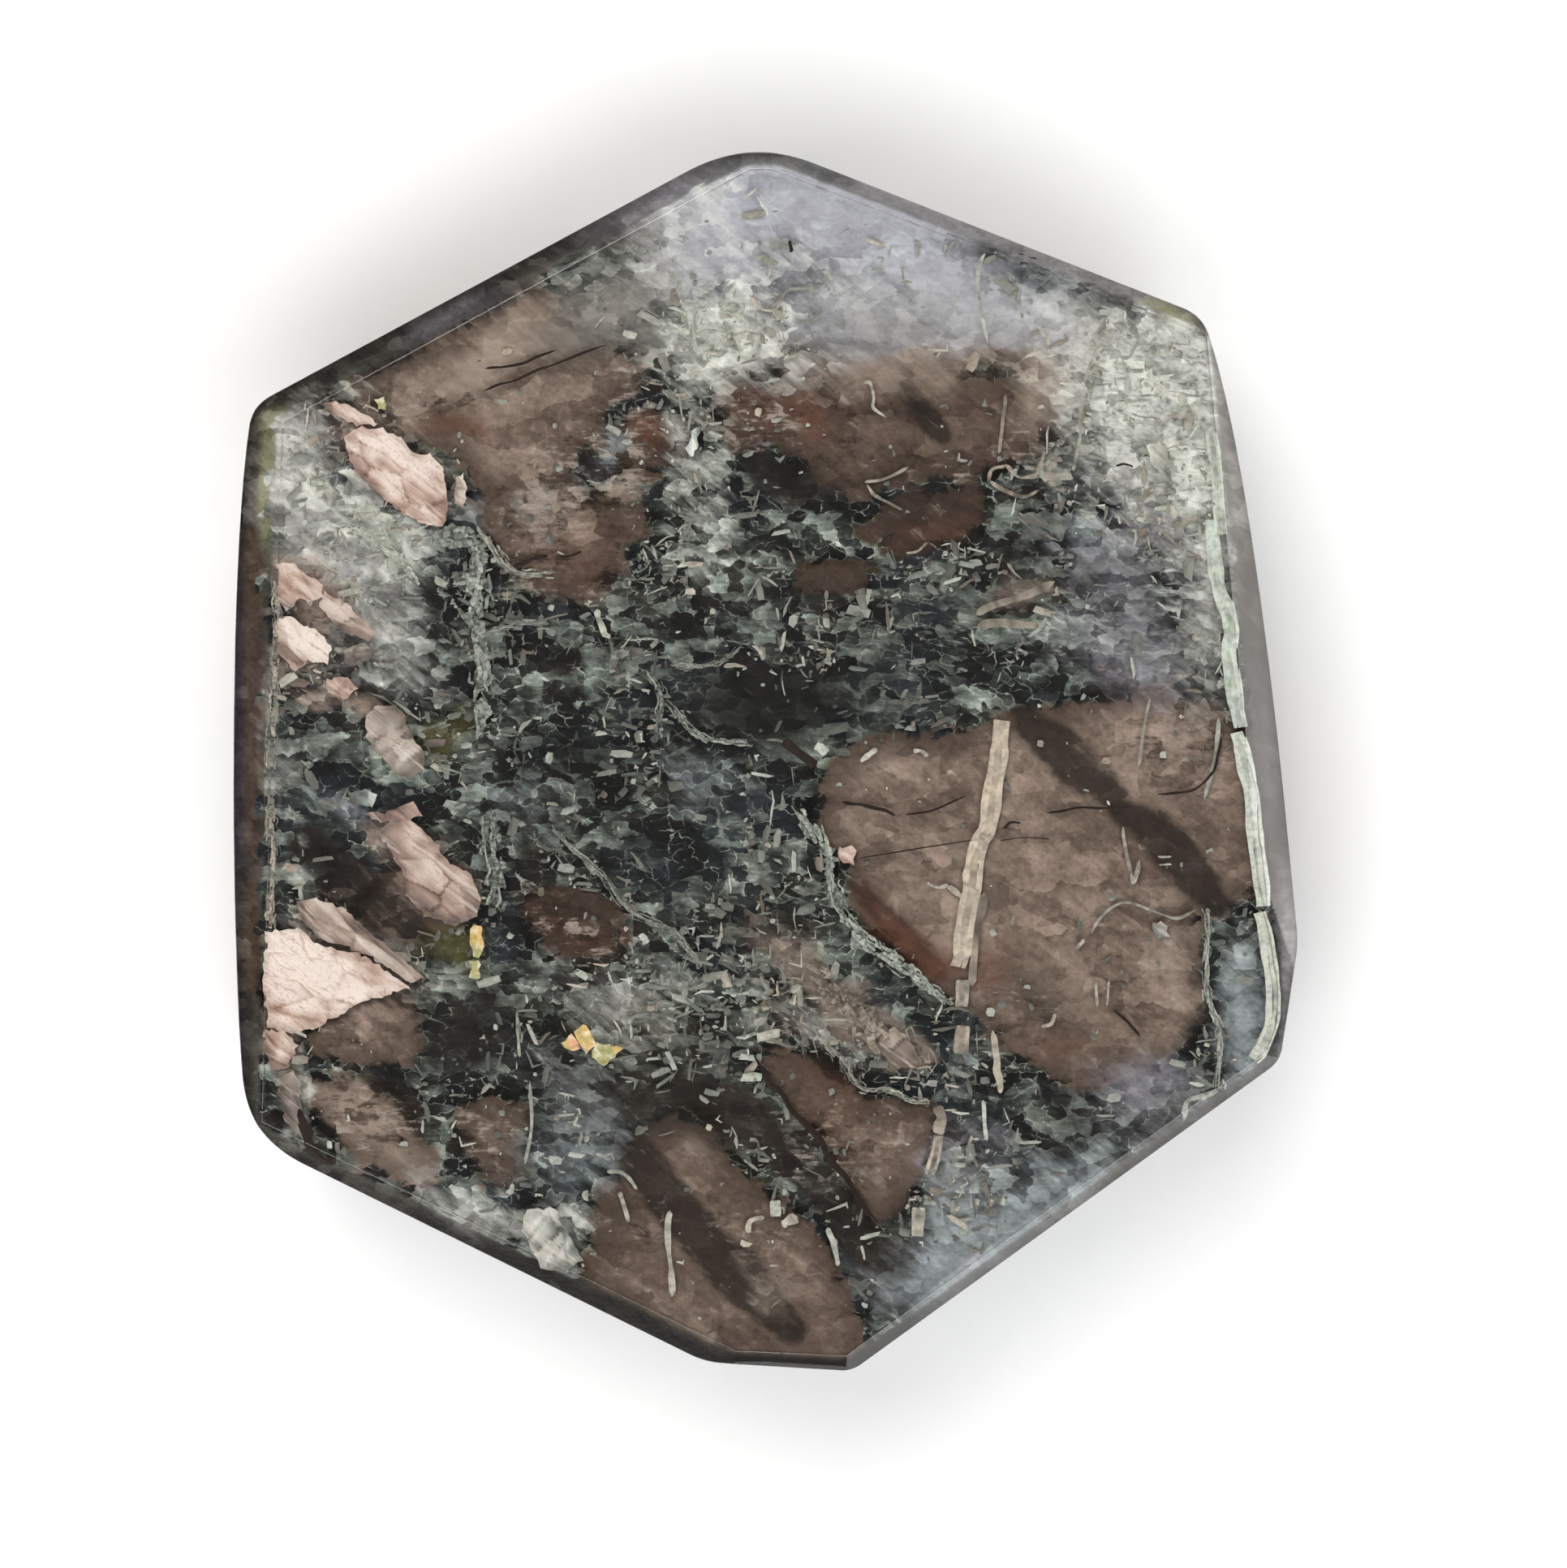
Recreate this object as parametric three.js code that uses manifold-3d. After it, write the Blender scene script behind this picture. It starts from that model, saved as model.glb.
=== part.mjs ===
// A trapiche sapphire: a slice sawn across a six-sided crystal, ground to a blunt, slightly
// uneven hexagon and polished. Millimetres, +Z up. It lies on its flat base with its table
// up; the origin is the middle of the base, and +Y points at the hexagon's top corner.

import * as THREE from 'three';
import { mergeVertices } from 'three/addons/utils/BufferGeometryUtils.js';
import Module from 'manifold-3d';

// Driving dimensions.
const stoneHeight = 3.3; // base to table
const curveSteps = 20; // straight steps along one curve of the outline
const cutterSize = 30; // a grinding cut is wider than the stone
const weldDistance = 1e-4;

// The outline at the girdle, clockwise from the top. Each corner is where its two sides
// would meet, and round is how far from there the blunting starts. A side with a bow leaves
// this corner along a curve with those two control points; the others are straight.
const corners = [
  { name: 'top', at: [-0.17, 6.31], round: 0.72 },
  { name: 'upper right', at: [4.39, 4.52], round: 0.2, bow: [[4.87, 3.09], [5.16, 0.47]] },
  { name: 'right', at: [5.37, -1.81], round: 0.15 },
  { name: 'right heel', at: [5.18, -3.0], round: 0.14 },
  { name: 'foot right', at: [0.87, -6.12], round: 0.12 },
  { name: 'foot left', at: [-0.62, -6.03], round: 0.16 },
  { name: 'lower left', at: [-5.22, -3.76], round: 0.62, bow: [[-5.4, -1.73], [-5.43, 1.94]] },
  { name: 'upper left', at: [-5.18, 3.61], round: 0.22 },
];

// Every bevel is one flat cut. facing is the compass angle that it looks along, in degrees
// from +X towards +Y. reach is the distance from the middle to the edge where it meets the
// table or the base, and slope is how steeply it falls away from that flat face.
const crownCuts = [
  { side: 'top', facing: 90, reach: 5.99, slope: 37 },
  { side: 'upper right', facing: 69, reach: 5.62, slope: 41 },
  { side: 'right', facing: 5.4, reach: 4.83, slope: 34 },
  { side: 'right heel', facing: 348.7, reach: 5.5, slope: 39 },
  { side: 'lower right', facing: 305.8, reach: 5.31, slope: 45 },
  { side: 'foot', facing: 267.5, reach: 5.92, slope: 39 },
  { side: 'lower left', facing: 244.2, reach: 5.455, slope: 41 },
  { side: 'left', facing: 178.3, reach: 4.97, slope: 33 },
  { side: 'upper left', facing: 118.5, reach: 5.34, slope: 37 },
];

const baseCuts = [
  { side: 'top', facing: 90, reach: 5.62, slope: 66 },
  { side: 'upper right', facing: 69, reach: 5.2, slope: 68 },
  { side: 'right', facing: 8.2, reach: 4.62, slope: 70 },
  { side: 'right heel', facing: 347, reach: 4.98, slope: 67 },
  { side: 'lower right', facing: 306.3, reach: 4.9, slope: 69 },
  { side: 'foot', facing: 267, reach: 5.58, slope: 66 },
  { side: 'lower left', facing: 243.7, reach: 5.08, slope: 68 },
  { side: 'left', facing: 180, reach: 4.72, slope: 69 },
  { side: 'upper left', facing: 118.7, reach: 5.04, slope: 67 },
];

// The point that lies a given distance from one point towards another.
function stepTowards(from, to, distance) {
  const direction = new THREE.Vector2().subVectors(to, from).normalize();
  return from.clone().addScaledVector(direction, distance);
}

// The closed outline: each side runs to its next corner, which a curve then blunts.
function girdleOutline() {
  const points = corners.map((corner) => new THREE.Vector2(...corner.at));
  const bows = corners.map((corner) => (corner.bow ?? []).map((at) => new THREE.Vector2(...at)));
  const wrap = (index) => (index + corners.length) % corners.length;
  const arrivals = points.map((point, i) => {
    const lastBow = bows[wrap(i - 1)].at(-1) ?? points[wrap(i - 1)];
    return stepTowards(point, lastBow, corners[i].round);
  });
  const departures = points.map((point, i) => {
    const firstBow = bows[i][0] ?? points[wrap(i + 1)];
    return stepTowards(point, firstBow, corners[i].round);
  });
  const outline = new THREE.Shape();
  outline.moveTo(departures[0].x, departures[0].y);
  points.forEach((_, i) => {
    const next = wrap(i + 1);
    const arrival = arrivals[next];
    const departure = departures[next];
    if (bows[i].length > 0) {
      const [first, second] = bows[i];
      outline.bezierCurveTo(first.x, first.y, second.x, second.y, arrival.x, arrival.y);
    } else {
      outline.lineTo(arrival.x, arrival.y);
    }
    outline.quadraticCurveTo(points[next].x, points[next].y, departure.x, departure.y);
  });
  return outline;
}

const wasm = await Module();
wasm.setup();

// A closed three.js geometry as a manifold solid.
function toSolid(geometry) {
  const bare = geometry.clone();
  bare.deleteAttribute('normal');
  bare.deleteAttribute('uv');
  const welded = mergeVertices(bare, weldDistance);
  const vertProperties = new Float32Array(welded.attributes.position.array);
  const triVerts = new Uint32Array(welded.index.array);
  return new wasm.Manifold(new wasm.Mesh({ numProp: 3, vertProperties, triVerts }));
}

// A manifold solid as a three.js geometry.
function toGeometry(solid) {
  const mesh = solid.getMesh();
  const geometry = new THREE.BufferGeometry();
  geometry.setAttribute('position', new THREE.BufferAttribute(mesh.vertProperties, 3));
  geometry.setIndex(new THREE.BufferAttribute(mesh.triVerts, 1));
  return geometry;
}

// A block whose flat underside lies on one bevel and that covers all the stone outside it.
// level is the height of the flat face that the bevel starts from, and up is 1 or -1.
function bevelCutter(cut, level, up) {
  const facing = THREE.MathUtils.degToRad(cut.facing);
  const slope = THREE.MathUtils.degToRad(cut.slope);
  const outwards = new THREE.Vector3(Math.cos(facing), Math.sin(facing), 0);
  const edge = outwards.clone().multiplyScalar(cut.reach).setZ(level);
  const normal = outwards.clone().multiplyScalar(Math.sin(slope)).setZ(up * Math.cos(slope));
  const block = new THREE.BoxGeometry(cutterSize, cutterSize, cutterSize);
  block.translate(0, 0, cutterSize / 2);
  block.applyQuaternion(new THREE.Quaternion().setFromUnitVectors(new THREE.Vector3(0, 0, 1), normal));
  block.translate(edge.x, edge.y, edge.z);
  return block;
}

// The stone: the outline carried up to the table, then ground back bevel by bevel.
function cutStone() {
  const rough = new THREE.ExtrudeGeometry(girdleOutline(), {
    depth: stoneHeight,
    bevelEnabled: false,
    curveSegments: curveSteps,
  });
  let solid = toSolid(rough);
  crownCuts.forEach((cut) => {
    solid = solid.subtract(toSolid(bevelCutter(cut, stoneHeight, 1)));
  });
  baseCuts.forEach((cut) => {
    solid = solid.subtract(toSolid(bevelCutter(cut, 0, -1)));
  });
  const geometry = toGeometry(solid);
  geometry.computeBoundingBox();
  const middle = geometry.boundingBox.getCenter(new THREE.Vector3());
  geometry.translate(-middle.x, -middle.y, 0);
  return geometry;
}

const polishedSapphire = new THREE.MeshStandardMaterial({
  color: 0x55504c,
  roughness: 0.12,
  metalness: 0,
  flatShading: true,
});

const stone = new THREE.Mesh(cutStone(), polishedSapphire);
stone.name = 'trapiche_sapphire';

const group = new THREE.Group();
group.add(stone);

export default group;
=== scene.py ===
import math
from functools import partial
from itertools import combinations

import bmesh
import bpy
import numpy as np
from mathutils import Matrix, Vector
from mathutils.geometry import delaunay_2d_cdt


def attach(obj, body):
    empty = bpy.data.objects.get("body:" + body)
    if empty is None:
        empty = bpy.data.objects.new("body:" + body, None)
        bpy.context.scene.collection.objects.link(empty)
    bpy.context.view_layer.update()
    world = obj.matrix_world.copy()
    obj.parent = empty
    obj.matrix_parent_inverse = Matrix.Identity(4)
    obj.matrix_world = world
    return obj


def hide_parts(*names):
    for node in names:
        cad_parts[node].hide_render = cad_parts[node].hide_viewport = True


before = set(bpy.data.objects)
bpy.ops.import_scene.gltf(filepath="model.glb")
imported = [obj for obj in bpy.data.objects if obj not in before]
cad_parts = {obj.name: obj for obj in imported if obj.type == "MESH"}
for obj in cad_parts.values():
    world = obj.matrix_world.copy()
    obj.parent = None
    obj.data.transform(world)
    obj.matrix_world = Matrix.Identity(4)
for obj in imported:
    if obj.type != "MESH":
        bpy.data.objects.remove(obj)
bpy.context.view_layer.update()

print("frame loaded")

# Shapes are worked out in millimetres, in the stone's own frame: +Z is up, the base lies on
# z = 0 and +Y points at the hexagon's top corner. They turn into metres as each mesh is made.
mm = 0.001
stoneNode = "trapiche_sapphire"
tableHeight = 3.3


# an sRGB hex colour as the linear values that a socket takes
def hexToLinear(code):
    channels = [int(code[i:i + 2], 16) / 255 for i in (1, 3, 5)]
    linear = [c / 12.92 if c <= 0.04045 else ((c + 0.055) / 1.055) ** 2.4 for c in channels]
    return (*linear, 1.0)


# adds one node: properties are set on the node, sockets are given a value, a hex colour or a link
def addNode(owner, nodeType, sockets=None, **properties):
    node = owner.node_tree.nodes.new(nodeType)
    for name, value in properties.items():
        setattr(node, name, value)
    for socket, value in (sockets or {}).items():
        if isinstance(value, bpy.types.NodeSocket):
            owner.node_tree.links.new(value, node.inputs[socket])
        else:
            node.inputs[socket].default_value = hexToLinear(value) if isinstance(value, str) else value
    return node


def newMaterial(name):
    material = bpy.data.materials.new(name)
    material.use_nodes = True
    material.node_tree.nodes.clear()
    return material


def newObject(name, data):
    made = bpy.data.objects.new(name, data)
    bpy.context.scene.collection.objects.link(made)
    return made


# makes an object of points in mm, with one number per point for each named attribute
def newPiece(name, points, faces, material, attributes=None):
    mesh = bpy.data.meshes.new(name)
    mesh.from_pydata([tuple(p) for p in np.asarray(points) * mm], [], faces)
    for key, values in (attributes or {}).items():
        layer = mesh.attributes.new(key, "FLOAT", "POINT")
        layer.data.foreach_set("value", np.asarray(values, dtype=np.float32))
    mesh.validate()
    mesh.materials.append(material)
    return newObject(name, mesh)


# a smooth random field from -1 to 1, with lumps of about the given size in mm
def lumps(points, size, seed):
    cells = 32
    table = np.random.default_rng(seed).uniform(-1, 1, (cells, cells, cells))
    scaled = np.asarray(points) / size
    low = np.floor(scaled).astype(int)
    part = scaled - low
    part = part * part * (3 - 2 * part)
    total = np.zeros(len(scaled))
    for corner in np.ndindex(2, 2, 2):
        weight = np.prod(np.where(corner, part, 1 - part), axis=1)
        at = (low + corner) % cells
        total += weight * table[at[:, 0], at[:, 1], at[:, 2]]
    return total


# a curve through the given points, closed or open
def roundOff(points, steps, closed=True):
    points = np.asarray(points, dtype=float)
    count = len(points)
    turned = []
    for i in range(count if closed else count - 1):
        if closed:
            before, start, end, after = (points[(i + k) % count] for k in (-1, 0, 1, 2))
        else:
            before, start, end, after = (points[min(max(i + k, 0), count - 1)] for k in (-1, 0, 1, 2))
        for t in np.arange(steps) / steps:
            turned.append(0.5 * (2 * start + (end - before) * t
                                 + (2 * before - 5 * start + 4 * end - after) * t ** 2
                                 + (3 * start - before - 3 * end + after) * t ** 3))
    if not closed:
        turned.append(points[-1])
    return np.array(turned)


# how far inside a closed outline each point lies, in mm, negative outside it
def insideDistance(points, outline):
    nearest = np.full(len(points), 1e9)
    inside = np.zeros(len(points), dtype=bool)
    for start, end in zip(outline, np.roll(outline, -1, axis=0)):
        edge = end - start
        along = np.clip((points - start) @ edge / max(edge @ edge, 1e-12), 0, 1)
        away = points - start - along[:, None] * edge
        nearest = np.minimum(nearest, np.hypot(away[:, 0], away[:, 1]))
        rise = edge[1] if abs(edge[1]) > 1e-9 else 1e-9
        crossing = (start[1] > points[:, 1]) != (end[1] > points[:, 1])
        inside ^= crossing & (points[:, 0] < start[0] + (points[:, 1] - start[1]) * edge[0] / rise)
    return np.where(inside, nearest, -nearest)


# how far inside a band along a line each point lies; the band's half width runs from first to last
def bandDistance(points, line, halfWidths):
    depth = np.full(len(points), -1e9)
    shares = np.linspace(0, 1, len(line))
    widths = np.interp(shares, np.linspace(0, 1, len(halfWidths)), halfWidths)
    for i in range(len(line) - 1):
        start, edge = line[i], line[i + 1] - line[i]
        along = np.clip((points - start) @ edge / max(edge @ edge, 1e-12), 0, 1)
        away = points - start - along[:, None] * edge
        width = widths[i] + (widths[i + 1] - widths[i]) * along
        depth = np.maximum(depth, width - np.hypot(away[:, 0], away[:, 1]))
    return depth


def smoothStep(values, low, high):
    t = np.clip((values - low) / (high - low), 0, 1)
    return t * t * (3 - 2 * t)


# Camera: straight above the stone, with +Y up in the frame

cameraSetup = {
    "lens": 200, "sensor": 36,
    "frameWidth": 15.771,  # mm across the view at the table
    "aim": (0.184, -0.229),  # the point in mm that the camera stands over
    "clip": (0.001, 2.0),  # m
}

cameraData = bpy.data.cameras.new("mainCamera")
cameraData.lens = cameraSetup["lens"]
cameraData.sensor_width = cameraSetup["sensor"]
cameraData.dof.use_dof = False
cameraData.clip_start, cameraData.clip_end = cameraSetup["clip"]
camera = newObject("mainCamera", cameraData)
cameraDistance = cameraSetup["frameWidth"] * cameraSetup["lens"] / cameraSetup["sensor"]
camera.location = Vector((*cameraSetup["aim"], tableHeight + cameraDistance)) * mm
bpy.context.scene.camera = camera
print("camera placed")


# Light: a pale floor and soft lamps; the sky is pale at the horizon and dark overhead, because
# the polished table mirrors what is straight above it

lightSetup = {
    "skyPale": "#f9f9f9", "skyDark": "#262729",
    "paleUpTo": 0.045, "darkFrom": 0.085,  # heights in the sky, as sines
    "floorColour": "#f8f8f7", "fibreColour": "#f5f5f4", "floorSize": 160, "floorGap": 0.01,  # mm
    # name: compass angle, height angle, distance mm, size mm, power W, colour
    "lamps": {
        "keyLamp": (115, 61, 260, 190, 0.447, "#fffdfa"),
        "fillLamp": (-60, 60, 260, 190, 0.39, "#fbfcff"),
        "backLamp": (230, 58, 280, 200, 0.345, "#ffffff"),
        "rightBox": (12, 16, 240, 110, 0.065, "#fffaf4"),
    },
}

for name, (compass, height, distance, size, power, colour) in lightSetup["lamps"].items():
    lampData = bpy.data.lights.new(name, "AREA")
    lampData.shape = "DISK"
    lampData.size = size * mm
    lampData.energy = power
    lampData.color = hexToLinear(colour)[:3]
    lamp = newObject(name, lampData)
    flat, up = math.cos(math.radians(height)), math.sin(math.radians(height))
    turn = math.radians(compass)
    lamp.location = Vector((math.cos(turn) * flat, math.sin(turn) * flat, up)) * distance * mm
    lamp.rotation_euler = lamp.location.to_track_quat("Z", "Y").to_euler()

world = bpy.data.worlds.new("softStudio")
bpy.context.scene.world = world
world.use_nodes = True
world.node_tree.nodes.clear()
skyDirection = addNode(world, "ShaderNodeTexCoord").outputs["Generated"]
skyParts = addNode(world, "ShaderNodeSeparateXYZ", {"Vector": skyDirection})
skyShare = addNode(world, "ShaderNodeMapRange", {
    "Value": skyParts.outputs["Z"], "From Min": lightSetup["paleUpTo"],
    "From Max": lightSetup["darkFrom"]}, interpolation_type="SMOOTHSTEP")
skyColour = addNode(world, "ShaderNodeMix", {
    0: skyShare.outputs["Result"], 6: lightSetup["skyPale"], 7: lightSetup["skyDark"]}, data_type="RGBA")
skyLight = addNode(world, "ShaderNodeBackground", {"Color": skyColour.outputs[2], "Strength": 1.0})
addNode(world, "ShaderNodeOutputWorld", {"Surface": skyLight.outputs["Background"]})

# bounces enough for light to enter, cross and leave the stone
lightPaths = {
    "max_bounces": 10, "diffuse_bounces": 2, "glossy_bounces": 4, "transmission_bounces": 8,
    "transparent_max_bounces": 8, "caustics_reflective": False, "caustics_refractive": False,
    "use_denoising": True,
}
for name, value in lightPaths.items():
    setattr(bpy.context.scene.cycles, name, value)
bpy.context.scene.view_settings.view_transform = "Standard"
bpy.context.scene.view_settings.look = "None"


# Uncoated white card, pressed: matt and even with a faint mottle, so the eye rests on the stone
def mattWhiteCard():
    material = newMaterial("mattWhiteCard")
    add = partial(addNode, material)
    place = add("ShaderNodeTexCoord").outputs["Object"]
    # tufts 0.4 mm apart; real fibres are ten times finer and wouldn't show
    fibre = add("ShaderNodeTexNoise", {"Vector": place, "Scale": 2.5 / mm, "Detail": 3.0})
    colour = add("ShaderNodeMix", {
        0: fibre.outputs["Fac"], 6: lightSetup["floorColour"], 7: lightSetup["fibreColour"]},
        data_type="RGBA").outputs[2]
    shader = add("ShaderNodeBsdfPrincipled", {
        "Base Color": colour, "Roughness": 0.9, "Specular IOR Level": 0.1})
    add("ShaderNodeOutputMaterial", {"Surface": shader.outputs["BSDF"]})
    return material


half = lightSetup["floorSize"] / 2
under = -lightSetup["floorGap"]
floorCorners = [(-half, -half, under), (half, -half, under), (half, half, under), (-half, half, under)]
floor = newPiece("floor", floorCorners, [(0, 1, 2, 3)], mattWhiteCard())
print("studio lit")


# The stone's flat faces, as outward normals and their distances from the origin in mm

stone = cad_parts[stoneNode]
facing = {
    "weld": 0.0005, "flatWithin": 0.5, "leastArea": 0.01,  # mm, degrees, square mm
    "slant": 0.05, "level": 0.99,  # z of the normals from which faces count as slanted and as level
}


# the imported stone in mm, with each flat face whole
def wholeFaces():
    work = bmesh.new()
    work.from_mesh(stone.data)
    bmesh.ops.transform(work, matrix=Matrix.Scale(1 / mm, 4), verts=work.verts)
    bmesh.ops.remove_doubles(work, verts=work.verts, dist=facing["weld"])
    bmesh.ops.dissolve_limit(work, angle_limit=math.radians(facing["flatWithin"]), verts=work.verts,
                             edges=work.edges)
    work.normal_update()
    return work


stoneFaces = wholeFaces()
print("flat faces:", len(stoneFaces.faces))
stonePlanes = np.array([(*f.normal, f.normal.dot(f.verts[0].co)) for f in stoneFaces.faces
                        if f.calc_area() > facing["leastArea"]])
stoneCorners = np.array([v.co[:] for v in stoneFaces.verts])
stoneFaces.free()
isTop = stonePlanes[:, 2] > facing["slant"]
isBase = stonePlanes[:, 2] < -facing["slant"]
isWall = ~isTop & ~isBase


# the height of the stone's upper or lower skin over each (x, y), sunk inwards by inset
def skinHeight(flat, inset, upper=True):
    planes = stonePlanes[isTop if upper else isBase]
    heights = (planes[:, 3] - inset - flat @ planes[:, :2].T) / planes[:, 2]
    return heights.min(axis=1) if upper else heights.max(axis=1)


# how far inside the stone's walls each (x, y) lies
def wallDistance(flat):
    planes = stonePlanes[isWall]
    return (planes[:, 3] - flat @ planes[:, :2].T).min(axis=1)


# how far inside the table's own edge each (x, y) lies
def tableDistance(flat):
    planes = stonePlanes[isTop & (stonePlanes[:, 2] < facing["level"])]
    slant = np.hypot(planes[:, 0], planes[:, 1])
    return ((planes[:, 3] - planes[:, 2] * tableHeight - flat @ planes[:, :2].T) / slant).min(axis=1)


# Growth sectors and markings, drawn from above in mm. Sectors are closed outlines, bands are
# lines with half widths, and clouds are soft ovals: x, y, half length, half width, strength, and
# a turn in degrees if they have one.

# each sector: how light its brown is, from 0 to 1, and its outline
brownSectors = {
    "upperLeft": (0.6, [
        (-4.13, 3.77), (-3.59, 4.13), (-3.06, 4.44), (-2.47, 4.75), (-2.18, 4.7), (-1.98, 4.46),
        (-1.67, 4.24), (-1.36, 4.07), (-1.23, 3.79), (-1.43, 3.58), (-1.58, 3.35), (-1.59, 3.15),
        (-1.8, 3.13), (-1.9, 2.94), (-1.76, 2.71), (-1.41, 2.66), (-1.17, 2.51), (-1.2, 2.25),
        (-1.4, 2.16), (-1.36, 1.91), (-1.64, 1.84), (-1.77, 1.63), (-2.11, 1.63), (-2.31, 1.69),
        (-2.56, 1.95), (-2.8, 2.25), (-2.92, 2.68), (-3.13, 3.09), (-3.45, 3.27), (-3.78, 3.49)]),
    "upperLeftLobe": (0.2, [
        (-1.46, 3.46), (-1.07, 3.53), (-0.78, 3.41), (-0.68, 3.18), (-0.86, 2.94), (-1.18, 2.86),
        (-1.48, 2.99), (-1.54, 3.23)]),
    "upperMiddle": (0.3, [
        (0.16, 4.0), (0.71, 4.2), (1.27, 4.15), (1.89, 4.0), (2.42, 3.85), (2.78, 3.66), (2.93, 3.33),
        (2.83, 3.1), (2.42, 3.0), (2.15, 2.79), (1.69, 2.82), (1.28, 2.71), (0.97, 2.53), (0.71, 2.64),
        (0.47, 2.84), (0.33, 3.04), (0.12, 3.19), (0.09, 3.58)]),
    "upperLobe": (0.08, [
        (0.92, 2.42), (1.08, 2.51), (1.24, 2.71), (1.53, 2.76), (1.93, 2.81), (2.18, 2.78), (2.23, 2.56),
        (2.16, 2.31), (1.81, 2.23), (1.67, 2.16), (1.61, 2.02), (1.43, 2.01), (1.25, 2.12), (1.18, 2.27),
        (0.99, 2.27)]),
    "right": (0.66, [
        (0.56, -0.19), (0.47, -0.48), (0.54, -0.66), (0.74, -1.07), (1.03, -1.59), (1.47, -2.02),
        (1.84, -2.43), (2.2, -2.68), (2.51, -2.96), (2.83, -3.22), (3.28, -3.32), (3.73, -3.2),
        (4.16, -2.97), (4.4, -2.55), (4.42, -1.98), (4.4, -1.57), (4.55, -1.47), (4.97, -1.42),
        (5.04, -0.83), (4.93, -0.18), (4.79, 0.31), (4.55, 0.62), (4.06, 0.75), (3.65, 0.7), (3.16, 0.6),
        (2.6, 0.52), (2.23, 0.41), (1.76, 0.31), (1.27, 0.28), (0.88, 0.1)]),
    "foot": (0.5, [
        (-1.44, -3.98), (-1.33, -3.77), (-1.18, -3.67), (-0.93, -3.54), (-0.69, -3.58), (-0.47, -3.66),
        (-0.38, -3.87), (-0.14, -4.14), (0.34, -4.57), (0.59, -4.72), (0.73, -5.09), (0.89, -5.28),
        (1.04, -5.73), (0.96, -5.98), (0.63, -6.22), (0.24, -6.25), (-0.35, -6.06), (-0.92, -5.75),
        (-1.62, -5.4), (-1.85, -5.09), (-1.77, -4.67), (-1.62, -4.3)]),
    "footRight": (0.5, [
        (-0.09, -2.95), (0.07, -3.22), (0.18, -3.33), (0.26, -3.46), (0.34, -3.6), (0.51, -3.71),
        (0.61, -3.9), (0.75, -4.09), (0.89, -4.3), (1.02, -4.55), (1.18, -4.62), (1.38, -4.51),
        (1.53, -4.22), (1.65, -3.93), (1.69, -3.54), (1.51, -3.39), (1.21, -3.33), (0.96, -3.31),
        (0.81, -3.17), (0.64, -3.09), (0.45, -2.92), (0.24, -2.85)]),
    "lowerDome": (0.6, [
        (-4.6, -2.74), (-4.24, -2.55), (-3.89, -2.38), (-3.61, -2.39), (-3.49, -2.63), (-3.5, -3.04),
        (-3.84, -3.13), (-4.16, -3.07), (-4.56, -3.0)]),
    "lowerLeft": (0.95, [
        (-4.71, -3.27), (-4.33, -3.15), (-4.04, -3.18), (-3.72, -3.36), (-3.57, -3.62), (-3.52, -3.8),
        (-3.36, -3.91), (-3.32, -4.23), (-3.54, -4.28), (-3.78, -4.17), (-4.04, -4.0), (-4.3, -3.8),
        (-4.56, -3.56)]),
    "lowerLeftInner": (0.42, [
        (-3.13, -3.62), (-2.91, -3.39), (-2.67, -3.38), (-2.41, -3.48), (-2.38, -3.8), (-2.5, -4.15),
        (-2.67, -4.33), (-2.93, -4.1)]),
    "middleLow": (0.1, [
        (-2.47, -1.44), (-2.15, -1.28), (-1.66, -1.32), (-1.43, -1.57), (-1.45, -1.89), (-1.82, -2.02),
        (-2.23, -1.93)]),
    "smallRed": (0.12, [
        (0.27, 1.94), (0.55, 2.01), (1.1, 1.97), (1.0, 1.75), (0.55, 1.67), (0.3, 1.76)]),
    "columnRed": (0.14, [
        (-0.47, 3.76), (-0.15, 3.89), (0.07, 3.74), (0.11, 3.41), (-0.11, 3.09), (-0.31, 3.15),
        (-0.45, 3.41)]),
    "leftBrown": (0.35, [
        (-4.11, -1.49), (-3.62, -1.0), (-3.25, -0.96), (-2.92, -1.2), (-2.88, -1.49), (-3.13, -1.69),
        (-3.62, -1.73)]),
}

# where the sectors' edges blur, as clouds
blurs = [
    (1.69, 4.15, 1.8, 0.49, 0.95, -4), (-2.8, 4.39, 1.06, 0.41, 0.5, 28), (-1.41, 4.15, 0.49, 0.41, 0.7),
    (-1.98, 1.74, 0.73, 0.24, 0.25), (3.0, 3.25, 0.49, 0.57, 0.6), (4.14, -2.55, 0.73, 0.49, 0.5),
    (-4.19, 3.66, 0.57, 0.33, 0.6), (-3.62, -2.47, 0.49, 0.33, 0.3), (1.61, -4.18, 0.29, 0.57, 0.3),
    (4.47, 0.31, 0.41, 0.49, 0.4), (-2.47, -4.1, 0.33, 0.41, 0.4)
]

# where fine wavy growth ripples show, as clouds
ripples = [
    (3.93, 3.74, 0.98, 1.06, 1.0), (4.06, 2.11, 0.73, 0.98, 0.8), (-0.51, 4.51, 0.73, 0.65, 0.8),
    (-1.66, 3.25, 0.49, 0.49, 0.5), (0.47, 1.37, 2.61, 0.49, 0.4), (-3.94, 2.43, 0.73, 0.65, 0.6),
    (2.51, 1.29, 1.22, 0.49, 0.5), (-2.47, 2.76, 0.49, 0.49, 0.3)
]
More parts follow.
